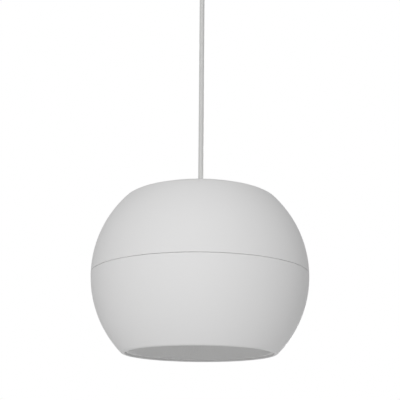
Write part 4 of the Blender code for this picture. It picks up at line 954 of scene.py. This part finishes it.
GASKET = 0.0012
DRIVER_BASE = SEAM + flange - GASKET - 2 * FIT
RIM_RADIUS = 0.0825
RIM_INNER = 0.066
RIM_TURN = (0.0015, 0.002)
SHEET = 0.0012
SHEET_BEND = 0.0008
SHARPEST_BEND = 0.3
THROUGH_SHEET = 0.006
NECK_RADIUS = 0.047
SHELF_RADIUS = 0.039
SHELF_HEIGHT = 0.027
BACK_RADIUS = 0.036
BACK_HEIGHT = 0.035
BACK_BORE = 0.020
SPOKE_TURN = math.radians(17)
WINDOW_INSET = (0.0022, 0.0045)
WINDOW_CORNER = 0.0025
WINDOW_START = 0.0005
DRIVER_SCREW = (0.0034, 0.0022, 0.0019)
DRIVER_SCREW_LENGTH = 0.0145

basket = pressed([
    (RIM_RADIUS, -SHEET / 2),
    (RIM_INNER, -SHEET / 2),
    (RIM_INNER - RIM_TURN[0], RIM_TURN[1]),
    (NECK_RADIUS, SHELF_HEIGHT),
    (SHELF_RADIUS, SHELF_HEIGHT),
    (BACK_RADIUS, BACK_HEIGHT),
    (BACK_BORE, BACK_HEIGHT)], SHEET, SHEET_BEND)
for quarter in range(4):
    basket = carved(basket, window(quarter * math.pi / 2))
rim_spots = around(SCREW_CIRCLE, DRIVER_BASE - SHEET / 2, 4, math.pi / 4)
basket = drilled(basket, DRIVER_SCREW[2] + FIT, THROUGH_SHEET, rim_spots)
new_piece("pressed_basket", basket, zinc, "basket")
foam = finish("gasket_foam", (0.045, 0.045, 0.047), 0.95, (900, 0.35), (1600, 0.25), 0.1)
seal = ring(RIM_RADIUS, FLANGE_RADIUS, FIT, FIT + GASKET, base=DRIVER_BASE)
seal = drilled(seal, DRIVER_SCREW[2] + FIT, THROUGH_SHEET, rim_spots)
new_piece("foam_seal", seal, foam, "driver_gasket")
for number, (x, y, _) in enumerate(rim_spots, 1):
    screw(f"rim_fixing_{number}", f"driver_screw_{number}", DRIVER_SCREW, DRIVER_SCREW_LENGTH,
          (x, y, DRIVER_BASE - SHEET - FIT))


# Motor: ferrite ring magnet glued between a plated top plate and a yoke whose pole stands in the coil.
# All three are turned or pressed round parts, with their edges slightly rounded.
PLATE_RADIUS = 0.036
PLATE_HEIGHT = 0.005
MAGNET_RADIUS = 0.0425
MAGNET_BORE = 0.022
MAGNET_HEIGHT = 0.015
YOKE_RADIUS = 0.0375
YOKE_HEIGHT = 0.005
COIL_RADIUS = 0.0127
FORMER_WALL = 0.0004
WINDING_WALL = 0.0006
COIL_GAP = 0.0006

plated = finish("plated_steel", (0.54, 0.515, 0.445), 0.30, (120, 0.08), (3500, 0.005), metallic=1.0)
ferrite = finish("ferrite", (0.045, 0.045, 0.048), 0.62, (90, 0.12), (1200, 0.05), 0.3)
former = COIL_RADIUS + FORMER_WALL
plate_front = BACK_HEIGHT + SHEET / 2 + FIT
magnet_front = plate_front + PLATE_HEIGHT + FIT
yoke_front = magnet_front + MAGNET_HEIGHT + FIT
plate_bore = former + WINDING_WALL + COIL_GAP
plate = ring(PLATE_RADIUS, plate_bore, plate_front, magnet_front - FIT, 0.0004, base=DRIVER_BASE)
new_piece("plated_ring", plate, plated, "top_plate")
magnet = ring(MAGNET_RADIUS, MAGNET_BORE, magnet_front, yoke_front - FIT, 0.0008, base=DRIVER_BASE)
new_piece("ferrite_ring", magnet, ferrite, "magnet")
pole = COIL_RADIUS - COIL_GAP
yoke = turned([
    (0, yoke_front + YOKE_HEIGHT),
    (YOKE_RADIUS, yoke_front + YOKE_HEIGHT, 0.0010),
    (YOKE_RADIUS, yoke_front, 0.0003),
    (pole, yoke_front, 0.0006),
    (pole, plate_front, 0.0004),
    (0, plate_front)], 96, DRIVER_BASE)
new_piece("yoke_and_pole", yoke, plated, "yoke")


# Cone: pressed paper with a flat glued edge, and a paper cap over the coil.
# They move with the coil, a copper winding on a thin metal former.
def cone_height(radius):
    """The cone's sweep between its flat edge and its neck."""
    share = (cone_flat - radius) / (cone_flat - cone_throat)
    return CONE_EDGE + (CONE_NECK - CONE_EDGE) * share ** CONE_SWEEP


PAPER = 0.0006
CONE_RADIUS = 0.0575
CONE_FLANGE = 0.003
CONE_EDGE = 0.0026
CONE_NECK = 0.019
CONE_SWEEP = 1.35
CONE_STEPS = 16
CAP_RADIUS = 0.017
CAP_RISE = 0.0065
TRAVEL = 0.003
COIL_FRONT = 0.0165
COIL_MARGIN = 0.001
WINDING_TURNS = 26

paper = finish("cone_paper", (0.040, 0.040, 0.042), 0.82, (700, 0.30), (1500, 0.10), 0.25)
cone_flat = CONE_RADIUS - CONE_FLANGE
cone_throat = former + FIT + PAPER / 2
radii = [cone_flat + (cone_throat - cone_flat) * step / CONE_STEPS for step in range(CONE_STEPS + 1)]
cone_line = [(CONE_RADIUS, CONE_EDGE), *((radius, cone_height(radius)) for radius in radii)]
new_piece("paper_cone", pressed(cone_line, PAPER), paper, "cone", "cone", crease=60)
cap_round = (CAP_RADIUS ** 2 + CAP_RISE ** 2) / (2 * CAP_RISE)
cap_center = cone_height(CAP_RADIUS) - PAPER - 2 * FIT - CAP_RISE + cap_round
cap_line = arc((0, cap_center), cap_round, -math.pi / 2, math.asin(CAP_RADIUS / cap_round) - math.pi / 2, 10)
cap_line[0] = (0, cap_line[0][1])
cap = [(radius, height - PAPER / 2) for radius, height in cap_line]
cap += [(radius, height + PAPER / 2) for radius, height in reversed(cap_line)]
new_piece("paper_cap", turned(cap, 72, DRIVER_BASE), paper, "dust_cap", "cone", crease=60)
coil_reach = PLATE_HEIGHT / 2 + TRAVEL
winding_top = plate_front + PLATE_HEIGHT / 2 + coil_reach
winding_bottom = winding_top - 2 * coil_reach
groove = former + 0.3 * WINDING_WALL
crest = former + WINDING_WALL
coil_end = winding_top + COIL_MARGIN
coil_line = [(COIL_RADIUS, COIL_FRONT), (COIL_RADIUS, coil_end), (former, coil_end)]
pitch = 2 * coil_reach / WINDING_TURNS
for lap in range(WINDING_TURNS):
    top = winding_top - lap * pitch
    coil_line += [(groove, top), (crest, top - 0.25 * pitch), (crest, top - 0.75 * pitch)]
coil_line += [(groove, winding_bottom), (former, winding_bottom), (former, COIL_FRONT)]
new_piece("wound_coil", turned(coil_line, 64, DRIVER_BASE), copper, "voice_coil", "cone", crease=50)


# Suspension: a rubber half roll glued from the rim to the cone, and a waved cloth disc behind it.
# Both flex with the cone. A card ring covers the roll's glued edge.
ROLL_SHEET = 0.0005
ROLL_STEP = 0.001
RING_INNER = 0.0668
RING_OUTER = 0.0720
RING_HEIGHT = 0.0015
CLOTH = 0.0004
SPIDER_NECK = 0.0225
SPIDER_COLLAR = 0.002
SPIDER_WAVES = 7
SPIDER_WAVE = 0.0009
SPIDER_STEPS = 8 * SPIDER_WAVES

rubber = finish("surround_rubber", (0.022, 0.022, 0.024), 0.48, (60, 0.10), (2600, 0.02))
card = finish("ring_card", (0.17, 0.15, 0.12), 0.90, (500, 0.12), (1800, 0.05), 0.15)
cloth = finish("spider_cloth", (0.55, 0.38, 0.13), 0.80, (2200, 0.25), (3000, 0.15), 0.2)
glued = -SHEET - FIT - ROLL_SHEET / 2
roll_start, roll_end = CONE_RADIUS + ROLL_STEP, RIM_INNER + FIT
roll_inner = CONE_EDGE - PAPER / 2 - FIT - ROLL_SHEET / 2
roll_line = [
    (RING_OUTER - ROLL_STEP, glued),
    *arc(((roll_start + roll_end) / 2, glued), (roll_end - roll_start) / 2, 0, -math.pi, 14),
    (roll_start - ROLL_STEP / 5, roll_inner),
    (cone_flat, roll_inner)]
surround = new_piece("rubber_roll", pressed(roll_line, ROLL_SHEET), rubber, "surround", None, crease=60)
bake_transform(surround)
ring_top = glued - ROLL_SHEET / 2 - FIT
card_ring = turned([
    (RING_INNER, ring_top),
    (RING_OUTER, ring_top),
    (RING_OUTER, ring_top - RING_HEIGHT, 0.0003),
    (RING_INNER, ring_top - RING_HEIGHT, 0.0003)], 96, DRIVER_BASE)
new_piece("card_ring", card_ring, card, "rim_ring")

spider_flat = SHELF_HEIGHT - SHEET / 2 - FIT - CLOTH / 2
spider_in = former + FIT + CLOTH / 2
spider_line = [(NECK_RADIUS - 0.002, spider_flat)]
for step in range(SPIDER_STEPS + 1):
    share = step / SPIDER_STEPS
    wave = SPIDER_WAVE * math.sin(share * SPIDER_WAVES * 2 * math.pi) * min(1, 6 * share, 6 * (1 - share))
    fall = (spider_flat - SPIDER_NECK) * share ** 2
    reach = SHELF_RADIUS + (spider_in + SPIDER_COLLAR - SHELF_RADIUS) * share
    spider_line.append((reach, spider_flat - fall + wave))
spider_line.append((spider_in, SPIDER_NECK - 0.0008))
spider = new_piece("waved_spider", pressed(spider_line, CLOTH), cloth, "spider", None, crease=60)
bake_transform(spider)


# Tags: a phenolic strip on the back of one spoke holds two plated tags, each with a hole at both ends.
# Braided tinsel leads hang from them to the cone and flex with it.
def on_spoke(form, lift, side=0.0):
    """Lays a flat form, top face up at zero, on the back of the spoke at a height above its middle."""
    spot = seat_middle + seat_normal * lift + Vector((0, side, 0))
    return moved(form, spoke_place @ spot, spoke_turn @ lean)


BOARD_SHEET = 0.0016
BOARD_WIDTH = 0.009
BOARD_LENGTH = 0.018
BOARD_HOLE = 0.0022
TAG_SHEET = 0.0008
TAG_WIDTH = 0.003
TAG_LENGTH = 0.009
TAG_HOLE = 0.0014
TAG_OFFSET = 0.0085
TINSEL_RADIUS = 0.0005
TINSEL_REACH = 0.0236
TINSEL_SPREAD = 0.0050
TINSEL_RISE = 0.0036
TINSEL_WIRES = 4
TINSEL_LAY = 0.003

spoke_run = RIM_INNER - RIM_TURN[0] - NECK_RADIUS
spoke_rise = SHELF_HEIGHT - RIM_TURN[1]
seat_normal = Vector((spoke_rise, 0, spoke_run)).normalized()
seat_middle = Vector((NECK_RADIUS + spoke_run / 2, 0, RIM_TURN[1] + spoke_rise / 2))
spoke_turn = Matrix.Rotation(math.pi / 4, 4, "Z")
spoke_place = Matrix.Translation((0, 0, DRIVER_BASE)) @ spoke_turn
lean = Matrix.Rotation(math.atan2(seat_normal.x, seat_normal.z), 4, "Y")

phenolic = finish("phenolic_board", (0.17, 0.075, 0.028), 0.50, (300, 0.15), (1500, 0.02))
board_back = SHEET / 2 + FIT + BOARD_SHEET
tag_back = board_back + FIT + TAG_SHEET
holes = [rounded(BOARD_HOLE, BOARD_HOLE, center=(0, side * TAG_OFFSET), steps=4) for side in (-0.6, 0.6)]
board = slab(rounded(BOARD_WIDTH, BOARD_LENGTH, 0.0006), BOARD_SHEET, holes)
new_piece("tag_strip", on_spoke(board, board_back), phenolic, "tag_board")
holes = [rounded(TAG_HOLE, TAG_HOLE, center=(0, end * TAG_LENGTH * 0.32), steps=4) for end in (-1, 1)]
for letter, side, _ in PAIR:
    tag = slab(rounded(TAG_WIDTH, TAG_LENGTH, 0.0012), TAG_SHEET, holes)
    new_piece("solder_tag_" + letter, on_spoke(tag, tag_back, side * TAG_OFFSET), plated, "tag_" + letter)

lead_end = seat_middle + seat_normal * (board_back - TINSEL_RADIUS)
lead_start = cone_height(TINSEL_REACH) + PAPER + TINSEL_RADIUS + FIT
lead_width = TAG_OFFSET + TAG_LENGTH / 2 - TINSEL_RADIUS - 2 * FIT
for letter, side, _ in PAIR:
    route = []
    for share, rise, spread in ((0, 0, 0), (0.2, 0.7, 0.4), (0.48, 1.0, 0.75), (0.74, 0.8, 0.95)):
        across = TINSEL_SPREAD + (lead_width - TINSEL_SPREAD) * spread
        along = TINSEL_REACH + (lead_end.x - TINSEL_REACH) * share
        route.append((along, side * across, lead_start + TINSEL_RISE * rise))
    route.append((lead_end.x, side * lead_width, lead_end.z))
    points = [spoke_place @ place for place in smooth(route, 10)]
    tinsel = laid(points, TINSEL_RADIUS, TINSEL_WIRES, TINSEL_LAY)
    tinsel = new_piece("braided_lead_" + letter, tinsel, copper, "tinsel_lead_" + letter, None)
    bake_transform(tinsel)


# Line transformer: a stack of E and I laminations round a taped winding, held by a plated strap.
# Two screws go up through the strap's feet into the posts under the crown.
TRANSFORMER_X = 0.046
TRANSFORMER_TOP = SEAM + CROWN_RISE - 0.0217 - 2 * FIT
CORE_WIDTH = 0.041
CORE_HEIGHT = 0.034
CORE_STACK = 0.014
CORE_LEG = 0.007
LAMINATIONS = 20
LAMINATION_FILL = 0.9
WINDING_REACH = 0.016
WINDING_CORNER = 0.0035
WINDING_FLANGE = 0.0010
WINDING_INSET = 0.0006
BAND_WIDTH = 0.012
BAND_FOOT = 0.007
BAND_HOLE = 0.028
BAND_BENDS = (0.0004, 0.0016)
STRAP_SCREW_LENGTH = 0.0080

sheets = finish("lamination", (0.20, 0.20, 0.21), 0.48, (400, 0.20), (2500, 0.02), metallic=0.7)
across = Matrix.Rotation(math.pi / 2, 4, "Z")
upright = across @ Matrix.Rotation(math.pi / 2, 4, "X")
core_middle = TRANSFORMER_TOP - CORE_HEIGHT / 2
window_height = CORE_HEIGHT - 2 * CORE_LEG
windows = [rounded(CORE_LEG, window_height, 0.0002, (side * 1.5 * CORE_LEG, 0), 1) for side in (-1, 1)]
stack = bmesh.new()
sheet_pitch = CORE_STACK / LAMINATIONS
for number in range(LAMINATIONS):
    sheet = slab(rounded(CORE_WIDTH, CORE_HEIGHT, 0.0004, steps=2), sheet_pitch * LAMINATION_FILL, windows)
    depth = CORE_STACK / 2 - number * sheet_pitch
    merged(stack, moved(sheet, (TRANSFORMER_X + depth, 0, core_middle), upright))
new_piece("core_stack", stack, sheets, "transformer_core")

tape = finish("winding_tape", (0.72, 0.55, 0.13), 0.36, (250, 0.06), (900, 0.04), 0.6)
coil_height = window_height - 2 * FIT
leg_hole = rounded(2 * CORE_LEG + 2 * FIT, CORE_STACK + 2 * FIT, 0.0003, steps=1)
coil = bmesh.new()
for top, thickness, inset in ((0, WINDING_FLANGE, 0),
                              (WINDING_FLANGE, coil_height - 2 * WINDING_FLANGE, WINDING_INSET),
                              (coil_height - WINDING_FLANGE, WINDING_FLANGE, 0)):
    wrap = rounded(4 * CORE_LEG - 2 * FIT - 2 * inset, 2 * WINDING_REACH - 2 * inset, WINDING_CORNER)
    height = core_middle + coil_height / 2 - top
    layer = slab(wrap, thickness, [leg_hole])
    merged(coil, moved(layer, (TRANSFORMER_X, 0, height), across))
new_piece("taped_winding", coil, tape, "transformer_winding")

foot_top = TRANSFORMER_TOP + FIT
near = CORE_WIDTH / 2 + FIT
far = near + SHEET
reach = BAND_HOLE + BAND_FOOT
band_floor = -2 * FIT - CORE_HEIGHT
tight, wide = BAND_BENDS
inner = [(reach, 0), (near, 0, wide), (near, band_floor, tight)]
outer = [(far, band_floor - SHEET, wide), (far, -SHEET, tight), (reach, -SHEET)]
profile = inner + [(-x, *rest) for x, *rest in reversed(outer + inner)] + outer
band = moved(slab(softened(profile, 4), BAND_WIDTH), (TRANSFORMER_X + BAND_WIDTH / 2, 0, foot_top), upright)
band_holes = [(TRANSFORMER_X, side * BAND_HOLE, foot_top) for side in (-1, 1)]
band = drilled(band, SMALL_SCREW[2] + FIT, THROUGH_SHEET, band_holes)
new_piece("core_strap", band, plated, "transformer_strap")
for letter, side, _ in PAIR:
    screw("strap_fixing_" + letter, "transformer_screw_" + letter, SMALL_SCREW, STRAP_SCREW_LENGTH,
          (TRANSFORMER_X, side * BAND_HOLE, foot_top - SHEET - FIT))


# Inner wiring: the cord's cores go to a terminal block, on to the transformer, and from it to the driver.
# The leads are stranded wire insulated in brown and blue, and hang in loose curves.
INNER_BLOCK = (0.014, 0.038, 0.012)
INNER_BLOCK_X = -0.045
INNER_BLOCK_TOP = SEAM + CROWN_RISE - 0.0297 - FIT
INNER_SCREW_Y = 0.014
INNER_SCREW_LENGTH = 0.0180
LEAD_STAND = 0.010
LEAD_DIP = 0.024
LEAD_SPREAD = 0.010
LEAD_SWEEP = 0.083
LEAD_DROP = 0.011

level = INNER_BLOCK_TOP - INNER_BLOCK[2] / 2
inner_block = block(INNER_BLOCK, (INNER_BLOCK_X, 0, level), [-INNER_SCREW_Y, INNER_SCREW_Y])
new_piece("inner_block", inner_block, clear_nylon, "terminal_block")
for letter, side, _ in PAIR:
    screw("block_fixing_" + letter, "terminal_screw_" + letter, SMALL_SCREW, INNER_SCREW_LENGTH,
          (INNER_BLOCK_X, side * INNER_SCREW_Y, INNER_BLOCK_TOP - INNER_BLOCK[2] - FIT))
entry_inset = (INNER_BLOCK[0] - ENTRY_DEPTH) / 2
near_end = INNER_BLOCK_X + entry_inset
far_end = INNER_BLOCK_X - entry_inset
near_face = TRANSFORMER_X - WINDING_REACH - FIT - CORE_RADIUS
far_face = TRANSFORMER_X + WINDING_REACH + FIT + CORE_RADIUS
span = near_face - LEAD_STAND - INNER_BLOCK_X
core_bottom = TRANSFORMER_TOP + 2 * FIT - CORE_HEIGHT
tag_stand = tag_back + FIT + CORE_RADIUS
tag_face = seat_middle + seat_normal * tag_stand
for letter, side, insulation in PAIR:
    start = side * CORE_SPACING / 2
    entry = side * ENTRY_Y
    lead("inner_core_" + letter, "core_" + letter, [
        (0, start, cord_bottom - FIT),
        (0, start, cord_bottom - CORD_RADIUS),
        (near_end / 10, start, cord_bottom - 0.7 * LEAD_DROP),
        (near_end / 3, entry * 0.6, cord_bottom - 1.2 * LEAD_DROP),
        (near_end * 0.7, entry, level - CORE_RADIUS),
        (near_end, entry, level)], insulation)
    spread = side * LEAD_SPREAD
    lead("inner_primary_" + letter, "primary_lead_" + letter, [
        (far_end, entry, level),
        (far_end - LEAD_STAND, entry, level - CORE_RADIUS),
        (far_end - 1.4 * LEAD_STAND, spread * 0.6, level - LEAD_DIP * 0.45),
        (INNER_BLOCK_X, spread * 0.8, level - LEAD_DIP * 0.87),
        (INNER_BLOCK_X + span * 0.38, spread * 0.9, level - LEAD_DIP),
        (INNER_BLOCK_X + span * 0.78, spread, level - LEAD_DIP * 0.83),
        (near_face - 0.8 * LEAD_STAND, spread, level - LEAD_DIP * 0.42),
        (near_face, spread, level - LEAD_DIP * 0.17)], insulation)
    width = spread * 0.6
    tag_spot = spoke_place @ Vector((tag_face.x, side * TAG_OFFSET, tag_face.z))
    above = spoke_place @ Vector((tag_face.x + tag_stand, side * TAG_OFFSET, tag_face.z + LEAD_DROP))
    route = [(far_face, width, core_bottom + CORE_LEG + 3 * CORE_RADIUS),
             (far_face + 0.4 * LEAD_STAND, width, core_bottom - 3 * CORE_RADIUS)]
    for share, sweep, fall in ((0.3, 0.91, 0.23), (0.55, 1.0, 0.62), (0.8, 1.0, 0.84)):
        turn = math.pi / 4 * share + 1.2 * width / LEAD_SWEEP
        route.append(polar(LEAD_SWEEP * sweep, turn, core_bottom + (above.z - core_bottom) * fall))
    lead("inner_driver_lead_" + letter, "driver_lead_" + letter, [*route, above, tag_spot], insulation)
